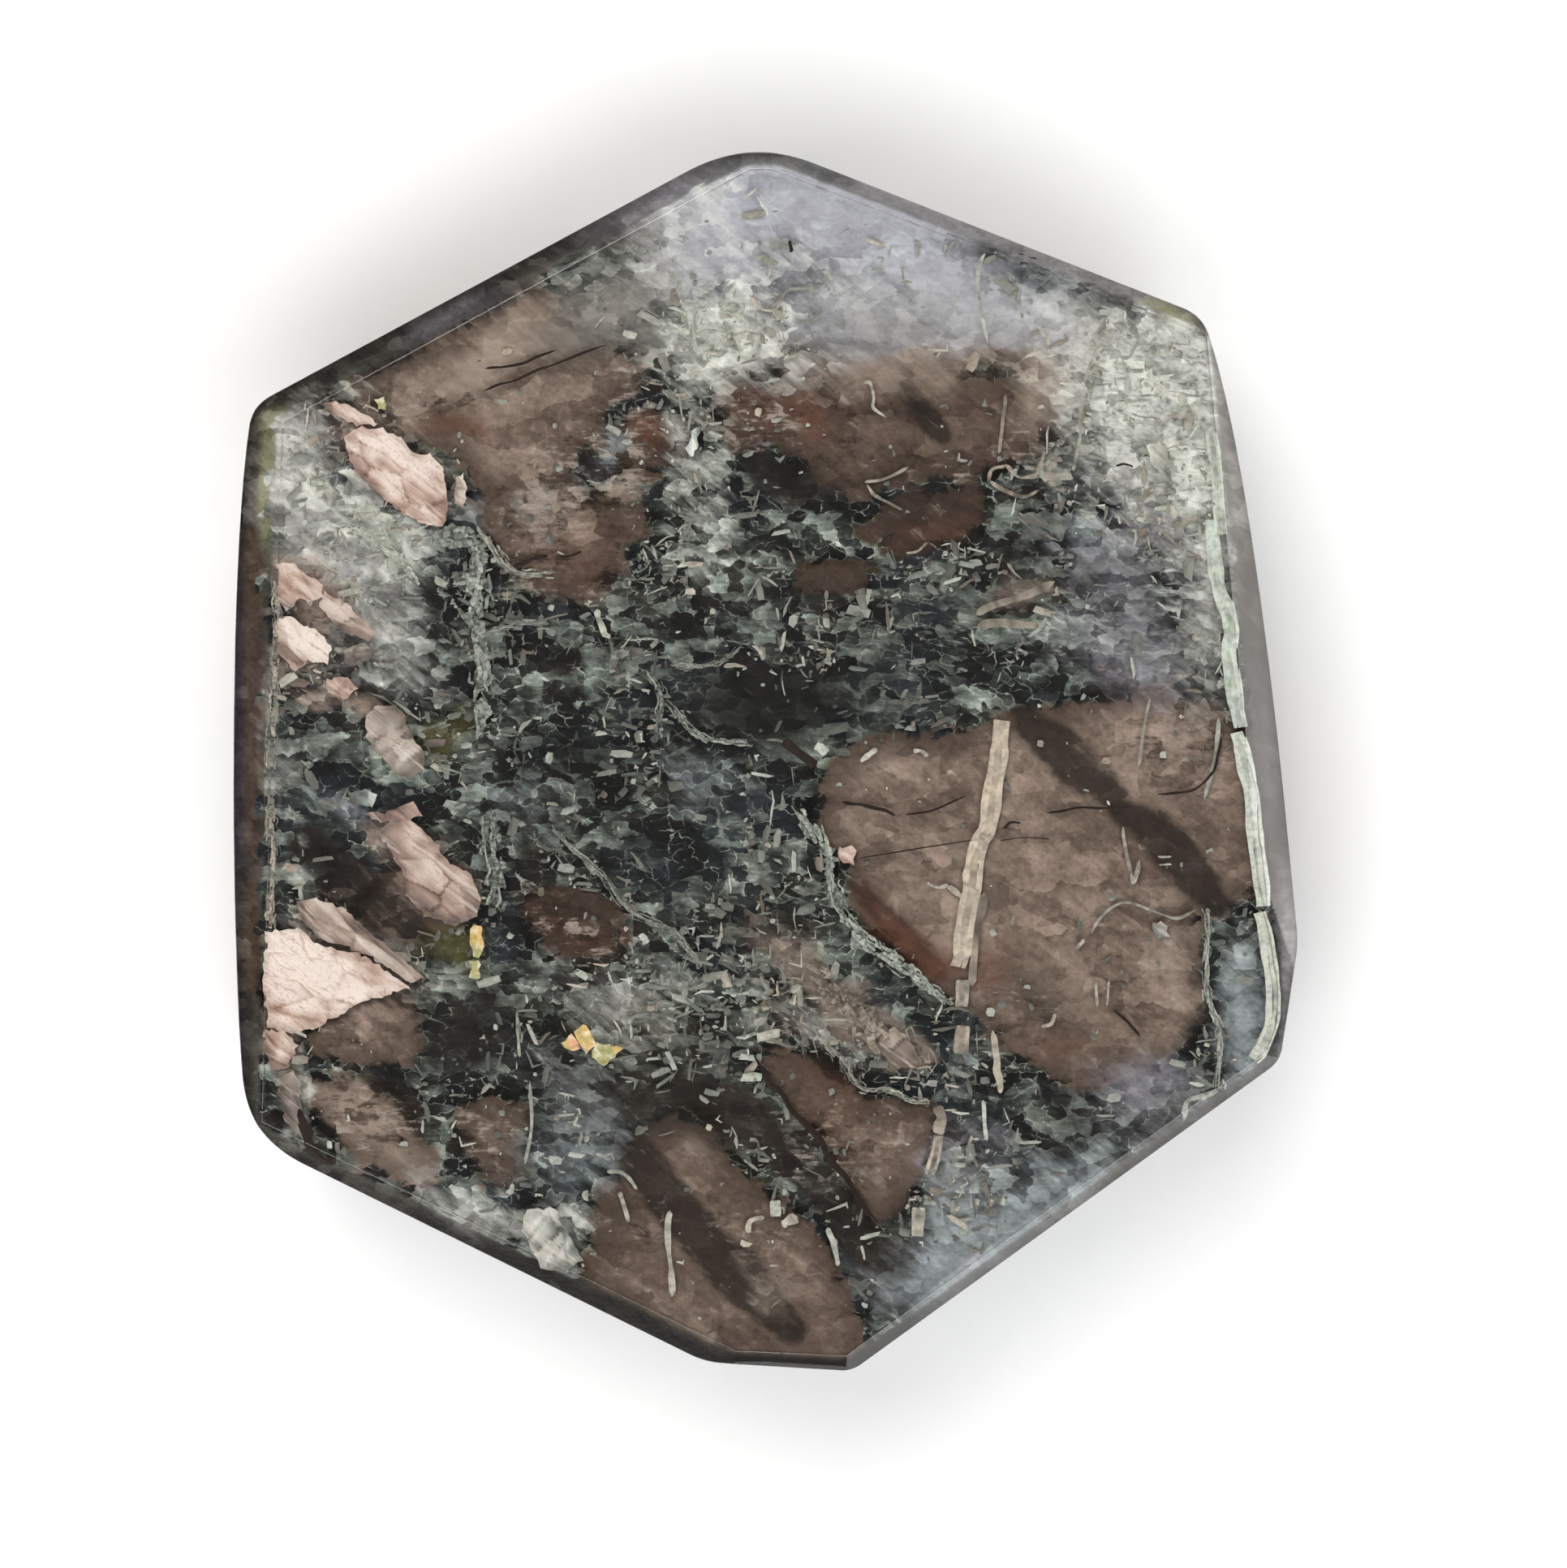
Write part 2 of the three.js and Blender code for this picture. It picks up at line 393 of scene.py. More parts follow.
# where the sectors are shattered into angular light and dark bits, as clouds
shattered = [
    (-1.9, 2.76, 0.9, 0.73, 1.0), (-1.33, 3.74, 0.49, 0.49, 0.8), (-2.64, 1.94, 0.65, 0.33, 0.7),
    (-0.11, 3.41, 0.57, 0.57, 0.9), (2.83, 3.0, 0.49, 0.49, 0.9), (1.93, 2.96, 0.9, 0.24, 0.6),
    (-4.02, -3.69, 0.73, 0.49, 0.9), (-2.72, -3.77, 0.49, 0.49, 0.7), (0.79, -3.77, 0.9, 0.49, 0.6),
    (-0.02, -4.67, 0.73, 0.49, 0.5), (-1.98, -1.65, 0.73, 0.41, 0.8), (4.14, 0.31, 0.9, 0.57, 0.6),
    (2.51, -2.55, 0.73, 0.49, 0.5), (-3.45, 3.66, 0.73, 0.33, 0.6), (1.2, -0.42, 0.57, 0.57, 0.3),
    (3.65, -2.14, 0.49, 0.73, 0.4), (-1.25, -4.83, 0.41, 0.57, 0.5), (-4.11, -2.71, 0.57, 0.33, 0.6)
]

markSetup = {
    "sharpEdge": 0.03, "blurredEdge": 0.4, "edgeShade": 0.45,  # half widths, and how far edges darken
    "sunkFrom": 0.4, "sunkNarrow": 0.22, "sunkSway": 0.5, "sunkLumps": 1.1,  # how columns change below
    "cloudSway": ((0.26, 0.8), (0.12, 0.25)),  # how far clouds' edges wander, and in what lumps
    "cloudFall": 1.1,  # how fast a cloud thins out from its middle
    "rimRagged": 0.3, "rimLumps": 0.13,
    "quietBrown": 0.6, "quietHaze": 0.6,  # how much less grain the brown and the haze have
}

# bands that hold dark, iron-rich growth layers
darkBars = {
    "upper": ([(1.15, 4.0), (1.31, 3.84), (1.58, 3.53), (1.8, 3.27)], [0.073, 0.11, 0.13, 0.09]),
    "rightUpper": ([(2.6, 0.42), (2.91, 0.19), (3.16, -0.06), (3.5, -0.33)], [0.16, 0.23, 0.24, 0.15]),
    "rightLower": ([
        (3.53, -0.48), (3.89, -0.67), (4.14, -0.93), (4.38, -1.24), (4.59, -1.49)],
        [0.13, 0.2, 0.24, 0.22, 0.098]),
    "foot": ([
        (-1.44, -3.81), (-1.19, -4.1), (-0.9, -4.51), (-0.57, -4.86), (-0.31, -5.13), (-0.07, -5.36),
        (0.29, -5.73)], [0.15, 0.23, 0.22, 0.23, 0.27, 0.25, 0.15]),
    "footSplit": ([
        (-0.84, -3.32), (-0.35, -3.53), (0.06, -3.77), (0.47, -4.18), (0.87, -4.67), (1.16, -5.08),
        (1.18, -5.4)], [0.15, 0.24, 0.24, 0.2, 0.21, 0.26, 0.18]),
    "left": ([(-4.6, -0.83), (-4.19, -1.2), (-3.78, -1.53), (-3.45, -1.81)], [0.21, 0.21, 0.24, 0.15]),
    "lowerLeft": ([(-4.67, -3.49), (-4.59, -3.8), (-4.39, -3.98)], [0.057, 0.11, 0.065]),
    "lowerLeftGap": ([(-3.68, -3.38), (-3.52, -3.59), (-3.45, -3.77)], [0.098, 0.13, 0.065]),
    "middle": ([(0.87, -1.2), (1.24, -1.61), (1.77, -2.14)], [0.082, 0.13, 0.11]),
    "upperMiddle": ([(-0.11, 3.04), (0.1, 2.84), (0.3, 2.69)], [0.13, 0.21, 0.13]),
    "rim": ([(-5.0, -0.14), (-4.69, -0.2)], [0.049, 0.041]),
}

# each family of clouds has one colour: (hex, how streaky its edge is)
cloudColours = {
    "rust": ("#634335", 0.5), "umber": ("#312b26", 0.6), "tan": ("#a39386", 0.6),
    "ink": ("#151615", 0.6), "plum": ("#8f8d94", 0.7), "olive": ("#5a5634", 0.5),
    "slate": ("#a0a9ac", 0.8), "ash": ("#c8c8c3", 0.9), "lavender": ("#bcbec7", 0.3),
    "pale": ("#e2e5dc", 1.3), "blush": ("#b09b8e", 1.0), "smoke": ("#8d8a84", 0.3),
}

# where each family lies, as clouds
clouds = {
    "rust": [
        (-3.13, 3.31, 0.65, 0.24, 0.8), (-1.98, 2.02, 0.65, 0.33, 0.6), (-1.22, 3.21, 0.49, 0.29, 0.8),
        (0.44, 3.48, 0.38, 0.36, 0.8), (1.61, 2.43, 0.65, 0.33, 0.5, 10),
        (1.53, -1.85, 0.9, 0.28, 0.8, -42), (2.28, -2.22, 0.33, 0.49, 0.6),
        (2.91, -2.96, 0.57, 0.29, 0.6), (0.63, -3.36, 0.65, 0.41, 0.5, -35),
        (-1.25, -4.91, 0.41, 0.49, 0.35), (-1.94, -1.65, 0.65, 0.41, 0.4), (1.93, -4.1, 0.33, 0.49, 0.5),
        (-3.29, -1.49, 0.41, 0.24, 0.5, -30), (-0.19, 3.49, 0.29, 0.41, 0.6)],
    "umber": [
        (0.06, -1.85, 0.73, 0.41, 0.6, -30), (-1.33, -4.42, 0.29, 0.24, 0.5),
        (4.69, -1.94, 0.21, 0.2, 0.4), (0.38, -5.81, 0.49, 0.21, 0.35, -20),
        (-2.47, 2.76, 0.46, 0.36, 0.45), (-1.98, 2.17, 0.65, 0.28, 0.35),
        (-1.58, -3.24, 0.9, 0.49, 0.95), (-2.07, 1.78, 0.73, 0.18, 0.5), (0.47, 2.68, 0.65, 0.36, 0.7),
        (0.96, 1.78, 1.06, 0.24, 0.5), (0.06, 0.72, 1.22, 0.57, 0.8),
        (-3.94, -1.28, 0.82, 0.33, 0.8, -38), (-2.88, -2.75, 0.57, 0.42, 0.9),
        (-3.45, -3.65, 0.24, 0.33, 0.8), (1.28, -4.91, 0.28, 0.57, 0.9),
        (-0.31, -3.53, 0.73, 0.36, 0.8, -35), (-0.68, -5.0, 0.24, 0.49, 0.4),
        (3.0, -3.77, 0.73, 0.33, 0.5), (-0.76, -2.87, 0.73, 0.29, 0.6), (-1.37, -4.83, 0.33, 0.57, 0.5),
        (2.79, -2.47, 0.73, 0.46, 0.65), (2.42, 1.94, 0.98, 0.33, 0.4), (-2.07, -1.0, 0.57, 0.33, 0.4)],
    "tan": [
        (-2.8, 4.23, 0.9, 0.33, 0.85, 28), (-2.75, 4.02, 0.49, 0.24, 0.4, 20),
        (-4.06, -3.56, 0.49, 0.38, 0.52, 30), (1.53, -0.91, 0.49, 0.41, 0.4),
        (-1.82, 4.39, 0.41, 0.24, 0.5), (1.53, 4.07, 1.55, 0.33, 0.8, -4),
        (2.72, 3.71, 0.41, 0.49, 0.85), (-1.41, 2.58, 0.28, 0.18, 0.8), (3.73, 0.31, 0.73, 0.41, 0.45),
        (-0.68, -3.77, 0.41, 0.21, 0.5), (0.26, -5.16, 0.65, 0.29, 0.5, -40),
        (-0.68, -5.57, 0.73, 0.2, 0.4, -22), (2.51, 1.66, 0.57, 0.23, 0.6),
        (0.87, -2.47, 0.57, 0.2, 0.7, -40), (1.36, -2.91, 0.29, 0.29, 0.7),
        (0.47, -2.26, 0.98, 0.36, 0.7, -45), (-3.74, 0.27, 0.33, 0.41, 0.6),
        (-3.62, 3.33, 0.49, 0.33, 0.5, -40)],
    "ink": [
        (-2.88, -2.75, 0.52, 0.41, 0.7), (0.14, 2.76, 0.49, 0.29, 0.9), (0.14, 0.56, 1.47, 0.62, 1.0),
        (1.69, 1.29, 0.49, 0.41, 0.5), (-4.56, 0.23, 0.49, 0.28, 0.65),
        (-4.56, -1.0, 0.49, 0.24, 0.8, -20), (-3.13, 1.37, 0.29, 0.65, 0.5),
        (3.16, 1.94, 0.41, 0.29, 0.5), (-1.98, -0.14, 0.82, 0.49, 0.75), (-2.8, -1.98, 0.29, 0.33, 0.5),
        (-1.98, -2.22, 0.49, 0.2, 0.4), (-1.41, 0.96, 0.49, 0.28, 0.4), (-0.35, 3.74, 0.2, 0.24, 0.4),
        (4.38, -1.57, 0.24, 0.24, 0.5), (3.08, -3.69, 0.49, 0.2, 0.5, 20),
        (-0.68, -3.2, 0.49, 0.2, 0.5, -20)],
    "plum": [
        (3.98, -3.44, 0.9, 0.49, 0.75), (3.57, 1.13, 0.98, 0.49, 0.7), (3.32, 2.02, 0.65, 0.49, 0.6),
        (4.06, 2.6, 0.73, 0.49, 0.7), (1.69, -4.34, 0.33, 0.41, 0.6), (3.98, -2.14, 0.41, 0.57, 0.25),
        (2.18, -3.93, 0.41, 0.49, 0.5)],
    "olive": [
        (-3.17, 0.47, 0.36, 0.29, 0.9), (-3.13, -1.93, 0.44, 0.33, 0.9), (-1.41, -2.51, 0.57, 0.41, 0.6),
        (3.98, 4.51, 0.49, 0.18, 0.6, -22), (-4.35, 2.11, 0.41, 0.24, 0.4, -30)],
    "slate": [
        (1.81, -4.83, 0.38, 0.73, 0.95), (-0.61, -0.08, 0.54, 0.33, 0.52, -38),
        (2.3, -4.71, 1.14, 0.52, 1.0, 34), (3.16, -4.1, 0.57, 0.23, 0.7, 34),
        (2.79, 2.37, 0.41, 0.2, 0.6), (2.67, 4.78, 0.33, 0.24, 0.5), (4.81, -2.53, 0.29, 0.7, 0.92),
        (1.53, -5.34, 0.33, 0.29, 0.8), (-1.74, 2.96, 0.21, 0.46, 0.5, 10),
        (1.89, -2.96, 0.2, 0.57, 0.6), (-2.47, -0.59, 0.57, 0.49, 0.4), (3.32, 2.35, 0.49, 0.41, 0.45),
        (-1.72, 2.97, 0.2, 0.21, 0.4), (-1.98, -3.77, 0.49, 0.98, 0.5), (-4.07, -0.38, 0.24, 0.11, 0.8),
        (-3.13, 2.43, 0.49, 0.33, 0.4), (2.59, 4.96, 0.65, 0.2, 0.5, -20)],
    "ash": [
        (3.73, 4.07, 1.22, 0.82, 1.0, -20), (4.06, 3.0, 0.9, 0.73, 0.85), (4.38, 1.78, 0.49, 1.22, 0.75),
        (-4.43, 1.81, 0.49, 0.28, 0.8), (2.51, 4.47, 1.22, 0.41, 0.9, -18),
        (-4.56, 3.0, 0.36, 0.57, 0.95), (-4.19, 2.27, 0.9, 0.49, 0.8, -35),
        (-0.92, 5.21, 0.73, 0.41, 0.9, 30), (-2.07, 2.76, 0.49, 0.38, 0.35),
        (-2.8, -4.59, 1.14, 0.21, 0.7, -28), (0.38, -2.71, 0.82, 0.33, 0.5, -30),
        (0.96, 4.8, 1.31, 0.41, 0.6, -8), (-0.19, 4.15, 0.9, 0.57, 0.8),
        (-4.02, 1.37, 0.9, 0.57, 0.7, -30), (-4.76, -0.18, 0.33, 0.33, 0.5),
        (-1.49, -2.42, 0.65, 0.49, 0.6)],
    "lavender": [
        (0.47, 5.52, 1.63, 0.57, 0.95, 8), (1.69, 5.03, 1.22, 0.41, 0.9, -22),
        (-0.43, 5.45, 0.73, 0.49, 0.8, 35), (0.63, 4.64, 1.47, 0.33, 0.5, -4),
        (1.44, 4.39, 1.39, 0.29, 0.65), (2.26, 4.15, 0.57, 0.24, 0.6, 10),
        (1.93, -5.08, 0.49, 0.28, 0.5, 34), (-4.27, -0.42, 0.41, 0.16, 0.4)],
    "pale": [
        (-4.14, 2.43, 0.57, 0.21, 0.6, -38), (4.42, 3.0, 0.49, 0.73, 0.8),
        (-0.43, 4.43, 0.9, 0.65, 0.95), (-0.6, 3.09, 0.29, 1.22, 0.5), (3.89, 3.82, 0.9, 0.98, 0.9),
        (-3.86, 2.19, 0.57, 0.21, 0.8, -38), (-2.07, -4.83, 0.38, 0.33, 0.9, -45),
        (-4.88, 0.31, 0.098, 1.96, 0.6), (-4.76, -3.49, 0.18, 0.41, 0.8), (4.38, 3.82, 0.41, 0.57, 0.5),
        (-0.6, 5.53, 0.49, 0.24, 0.5, 30), (-4.51, 3.58, 0.49, 0.16, 0.6, 25),
        (-4.51, 2.82, 0.33, 0.41, 0.35), (0.47, 5.21, 0.73, 0.21, 0.35)],
    "blush": [
        (-4.73, 1.45, 0.21, 0.18, 0.8), (-3.86, 3.09, 0.9, 0.36, 0.7, -40),
        (-4.74, 1.78, 0.28, 0.28, 0.8), (-4.43, 1.45, 0.44, 0.16, 0.8, -38),
        (-4.69, 1.13, 0.29, 0.36, 0.8), (-4.27, 0.73, 0.28, 0.15, 0.8),
        (-3.62, -0.75, 0.49, 0.24, 0.8, -35), (-3.25, -1.28, 0.49, 0.29, 0.6, -20),
        (-4.27, -1.98, 0.9, 0.57, 0.8, -25), (-4.88, -3.04, 0.18, 0.44, 0.8),
        (0.06, -2.71, 0.41, 0.36, 0.4), (1.36, -2.96, 0.28, 0.24, 0.5)],
    "smoke": [
        (-1.64, 4.54, 0.8, 0.49, 0.95, 38), (-1.28, 4.2, 0.33, 0.28, 0.7),
        (1.36, 4.39, 1.31, 0.28, 0.65), (2.26, 4.1, 0.49, 0.2, 0.5, 20), (1.2, 4.67, 0.9, 0.26, 0.35),
        (1.81, -4.91, 0.28, 0.49, 0.4)],
}

# colours that show only in the crown bevels, and where
bevelColours = {
    "bevelSmoke": ("#6f6c72", [
        (-1.17, 5.7, 0.9, 0.33, 0.9, 28), (-3.13, 4.39, 0.65, 0.24, 0.8, 28),
        (4.87, -0.51, 0.33, 1.88, 0.65), (5.2, -2.38, 0.24, 0.57, 0.7),
        (4.55, -3.77, 0.9, 0.33, 0.4, 34)]),
    "bevelHaze": ("#a09ea2", [(5.27, -1.98, 0.29, 0.98, 0.9), (2.6, 5.19, 2.45, 0.23, 0.85, -22)]),
    "bevelBrown": ("#55443a", [
        (-5.12, 0.64, 0.16, 2.78, 0.85), (-5.09, -1.98, 0.13, 0.49, 0.7),
        (2.91, 4.96, 2.12, 0.11, 0.25, -22)]),
    "bevelOlive": ("#8b8b62", [
        (-4.96, 2.76, 0.13, 0.73, 0.9), (-4.84, 3.41, 0.24, 0.15, 0.5),
        (4.06, 4.47, 0.41, 0.16, 0.7, -22)]),
    # near-black on the lower bevels: partly the stone's own dark colour, partly a painted dark reflection
    "bevelInk": ("#161310", [
        (-1.98, -5.44, 2.12, 0.41, 0.95, -26), (-4.43, 3.61, 0.41, 0.24, 0.4, 28),
        (1.28, -5.81, 0.73, 0.41, 0.95, 30), (-1.0, -5.96, 0.9, 0.29, 0.9, -26),
        (0.14, -6.12, 0.98, 0.29, 0.95)]),
    "bevelViolet": ("#3d3847", [(-5.31, 0.31, 0.082, 2.45, 0.8), (-5.28, -2.96, 0.098, 0.49, 0.5)]),
}


# everything that is painted on the growth sectors, worked out at any points in mm
def markings(points):
    flat = points[:, :2].copy()
    # deeper down the sectors widen and wander a little, as crystal columns do
    sunk = np.clip((tableHeight - markSetup["sunkFrom"] - points[:, 2]) / tableHeight, 0, 1)
    flat *= (1 - markSetup["sunkNarrow"] * sunk)[:, None]
    for axis, seed in ((0, 11), (1, 12)):
        flat[:, axis] += sunk * markSetup["sunkSway"] * lumps(points, markSetup["sunkLumps"], seed)
    found = {}
    tones, outlines = zip(*brownSectors.values())
    brown = np.array([insideDistance(flat, roundOff(outline, 3)) for outline in outlines])
    found["brown"] = brown.max(axis=0)
    found["tone"] = np.array(tones)[brown.argmax(axis=0)]
    bars = [bandDistance(flat, roundOff(line, 4, False), widths)
            for line, widths in darkBars.values()]
    found["bar"] = np.max(bars, axis=0)
    wandered = flat.copy()
    for axis, seed in ((0, 13), (1, 14)):
        wandered[:, axis] += sum(reach * lumps(points, size, seed + 2 * k)
                                 for k, (reach, size) in enumerate(markSetup["cloudSway"]))
    places = {"soft": blurs, "rippled": ripples, "shattered": shattered, **clouds}
    places.update({family: ovals for family, (_, ovals) in bevelColours.items()})
    for family, ovals in places.items():
        clear = np.ones(len(flat))
        origin = flat if family in bevelColours else wandered
        for x, y, along, across, strength, *turn in ovals:
            angle = math.radians(turn[0] if turn else 0)
            away = origin - (x, y)
            u = (away[:, 0] * math.cos(angle) + away[:, 1] * math.sin(angle)) / along
            v = (away[:, 1] * math.cos(angle) - away[:, 0] * math.sin(angle)) / across
            clear *= 1 - strength * np.exp(-markSetup["cloudFall"] * (u * u + v * v))
        found[family] = 1 - clear
    # painted shade: the brown darkens towards each sector's edge so the sector seems lit from inside; it
    # fades out where an edge is blurred
    found["edge"] = 1 - smoothStep(found["brown"], 0.0, markSetup["edgeShade"])
    found["edge"] *= 1 - found["soft"]
    found["soft"] = markSetup["sharpEdge"] + markSetup["blurredEdge"] * found["soft"]
    # the bevels' zone ends raggedly at the top of the walls
    ragged = markSetup["rimRagged"] * lumps(points * (1, 1, 0.4), markSetup["rimLumps"], 24)
    ragged += growthSetup["rimFoot"]
    girdle = np.clip(ragged - points[:, 2], 0, None)
    found["rim"] = np.clip(-tableDistance(points[:, :2]), -0.5, 0.3) - girdle
    hazy = np.maximum(found["lavender"], found["smoke"])
    found["grain"] = 1 - markSetup["quietBrown"] * smoothStep(found["brown"], -0.05, 0.1)
    found["grain"] *= 1 - markSetup["quietHaze"] * hazy
    return found


# Growth sectors: the coloured body of the crystal, sealed just under the polished skin

growthSetup = {
    "skin": 0.1, "wallGap": 0.04,  # mm of clear crystal over them and round them
    "columns": 150, "rows": 176, "rings": 30,  # how finely they are meshed
    "matrixDepth": 0.14, "wander": 0.05, "settle": 0.25,  # mm
    "sideSway": 0.006,  # share of its width that the side draws in
    "rimFoot": 2.92,  # height in mm where the bevels' colours end
}


# the upper face of the growth sectors: brown ones stand close under the skin, matrix lies deeper
def sectorHeight(flat):
    top = skinHeight(flat, growthSetup["skin"])
    points = np.column_stack([flat, top])
    brown = smoothStep(markings(points)["brown"], -0.08, 0.06)
    rough = growthSetup["wander"] * (0.5 + 0.5 * lumps(points, 0.16, 21))
    settle = smoothStep(wallDistance(flat) - growthSetup["skin"], 0.0, growthSetup["settle"])
    return top - settle * (growthSetup["matrixDepth"] * (1 - brown) + rough)


def buildGrowthSectors(material):
    skin, columns, rows, rings = (growthSetup[k] for k in ("skin", "columns", "rows", "rings"))
    wallGap = growthSetup["wallGap"]
    walls = stonePlanes[isWall]
    reach = walls[:, 3] - wallGap
    lowY, highY = stoneCorners[:, 1].min(), stoneCorners[:, 1].max()

    def rowEnds(y):
        left, right = -1e9, 1e9
        for (nx, ny, _, _), far in zip(walls, reach):
            if nx > 1e-3:
                right = min(right, (far - ny * y) / nx)
            elif nx < -1e-3:
                left = max(left, (far - ny * y) / nx)
            elif ny * y > far:
                return None
        return (left, right) if right - left > 0.05 else None

    while rowEnds(lowY) is None:
        lowY += 0.01
    while rowEnds(highY) is None:
        highY -= 0.01
    grid = []
    for y in np.linspace(lowY, highY, rows):
        left, right = rowEnds(y)
        grid.append(np.column_stack([np.linspace(left, right, columns), np.full(columns, y)]))
    flat = np.concatenate(grid)
    index = np.arange(rows * columns).reshape(rows, columns)
    edge = np.concatenate([index[0, :-1], index[:-1, -1], index[-1, :0:-1], index[:0:-1, 0]])

    top = sectorHeight(flat)
    base = skinHeight(flat, skin, upper=False)
    settle = smoothStep(wallDistance(flat) - skin, 0.0, growthSetup["settle"])
    base = base + settle * growthSetup["wander"] * (1 + lumps(np.column_stack([flat, base]), 0.2, 22))

    sides = []
    for k in range(1, rings):
        share = k / rings
        ring = np.column_stack([flat[edge], top[edge] + (base[edge] - top[edge]) * share])
        drawn = growthSetup["sideSway"] * (1 + lumps(ring, 0.25, 23)) * math.sin(math.pi * share)
        ring[:, :2] *= 1 - drawn[:, None]
        sides.append(ring)
    points = np.concatenate([np.column_stack([flat, top]), *sides, np.column_stack([flat, base])])

    faces = []
    baseStart = len(flat) + (rings - 1) * len(edge)
    for r in range(rows - 1):
        for c in range(columns - 1):
            a, b, d, e = index[r, c], index[r, c + 1], index[r + 1, c + 1], index[r + 1, c]
            faces.append((a, b, d, e))
            faces.append((baseStart + e, baseStart + d, baseStart + b, baseStart + a))
    loops = [edge]
    loops += [len(flat) + k * len(edge) + np.arange(len(edge)) for k in range(rings - 1)]
    loops += [baseStart + edge]
    for upper, lower in zip(loops, loops[1:]):
        for k in range(len(edge)):
            n = (k + 1) % len(edge)
            faces.append((lower[k], lower[n], upper[n], upper[k]))
    piece = newPiece("growthSectors", points, faces, material, markings(points))
    piece.data.shade_smooth()
    return piece


# lays colours over one another; each layer: what brings it in, from where to where, how opaque
# it gets, and its colour
def layColours(material, colour, layers):
    for source, low, high, opacity, over in layers:
        share = addNode(material, "ShaderNodeMapRange", {
            "Value": source, "From Min": low, "From Max": high, "To Max": opacity},
            interpolation_type="SMOOTHSTEP").outputs["Result"]
        colour = addNode(material, "ShaderNodeMix", {
            0: share, 6: colour, 7: over}, data_type="RGBA").outputs[2]
    return colour


corundumSetup = {
    # noises: lump sizes in mm along, across and in depth, turn, detail, curl
    "noises": {
        "broad": ((1.1, 1.1, 2.6), 0, 3, 0), "middle": ((0.31, 0.31, 0.8), 0, 4, 0),
        "fine": ((0.066, 0.066, 0.12), 0, 3, 0), "streak": ((0.42, 0.1, 0.8), -38, 4, 0),
        "hatch": ((0.2, 0.045, 0.3), 0, 3, 0), "ripple": ((0.27, 0.062, 0.6), -7, 1.5, 0.9),
    },
    # angular blocks: their count per mm, and the noise that breaks up the films round them
    "blocks": {"large": (2.2, "middle"), "small": (5.2, "streak")},
    "shakenBy": {"middle": 0.22, "fine": 0.04},  # mm
    "blockShape": (1, 1.6, 0), "blockSlope": 1.6, "filmFall": -2.6,
    # sums: one noise and shares of others
    "sums": {
        "facets": ("middle", {"large": 0.45, "small": 0.5, "broad": 0.5, "streak": 0.3, "hatch": 0.45}),
        "crumbs": ("hatch", {"middle": 0.6, "large": 0.1, "small": 0.3, "fine": 0.4}),
        "grit": ("fine", {"hatch": 0.5, "streak": 0.5, "large": 0.26, "small": 0.36}),
    },
    # fields from the mesh, and how far noises break up their edges
    "edges": {
        "brown": {"middle": 0.25, "fine": 0.12, "large": 0.14, "small": 0.07},
        "bar": {"middle": 0.14, "fine": 0.1, "small": 0.05}, "rim": {"fine": 0.06},
        "tone": {
            "broad": 0.7, "streak": 0.42, "fine": 0.35, "middle": 0.25, "large": 0.22, "small": 0.12},
        "soft": {}, "edge": {}, "shattered": {}, "rippled": {}, "grain": {},
    },
    "cloudEdges": {"streak": 0.75, "small": 0.22}, "bevelEdges": {"middle": 0.5},
    # colours: a ground, then layers, each with its field, from where to where, and how opaque
    "matrix": ("#1b1c1b", [
        ("facets", -0.25, 0.08, 1.0, "#373b37"), ("broad", 0.0, 0.2, 0.4, "#443b35"),
        ("broad", 0.0, -0.2, 0.35, "#444d56"), ("facets", 0.0, 0.22, 1.0, "#5f6660"),
        ("facets", 0.18, 0.42, 0.9, "#8a938b"), ("facets", 0.4, 0.62, 0.9, "#cad2c8"),
        ("largeWeb", -0.1, 0.08, 0.6, "#7f8a82"), ("smallWeb", -0.09, 0.1, 0.85, "#adb8ad")]),
    "brown": ("#3d312b", [
        ("tone", -0.05, 0.4, 1.0, "#63544a"), ("tone", 0.32, 1.05, 1.0, "#a29082"),
        # the "edge" layer is painted shade, darker brown towards each sector's edge
        ("edge", 0.0, 1.0, 0.65, "#41352e"), ("smallWeb", 0.08, 0.2, 0.3, "#8c7d72")]),
    "bevel": ("#262521", [
        ("streak", -0.1, 0.2, 0.7, "#45413c"), ("small", 0.0, 0.5, 0.5, "#55514c"),
        ("rim", 0.14, 0.0, 0.45, "#77756e"), ("fine", 0.1, 0.3, 0.4, "#6d6963")]),
    "darkBar": "#2a2420", "rimLine": "#3b3935",
    # patterns that show only in their own zones, light one way and dark the other
    "zones": {"shattered": ("crumbs", "#a3978c", "#33261f"), "rippled": ("ripple", "#dfe3e0", "#5b5e60")},
}
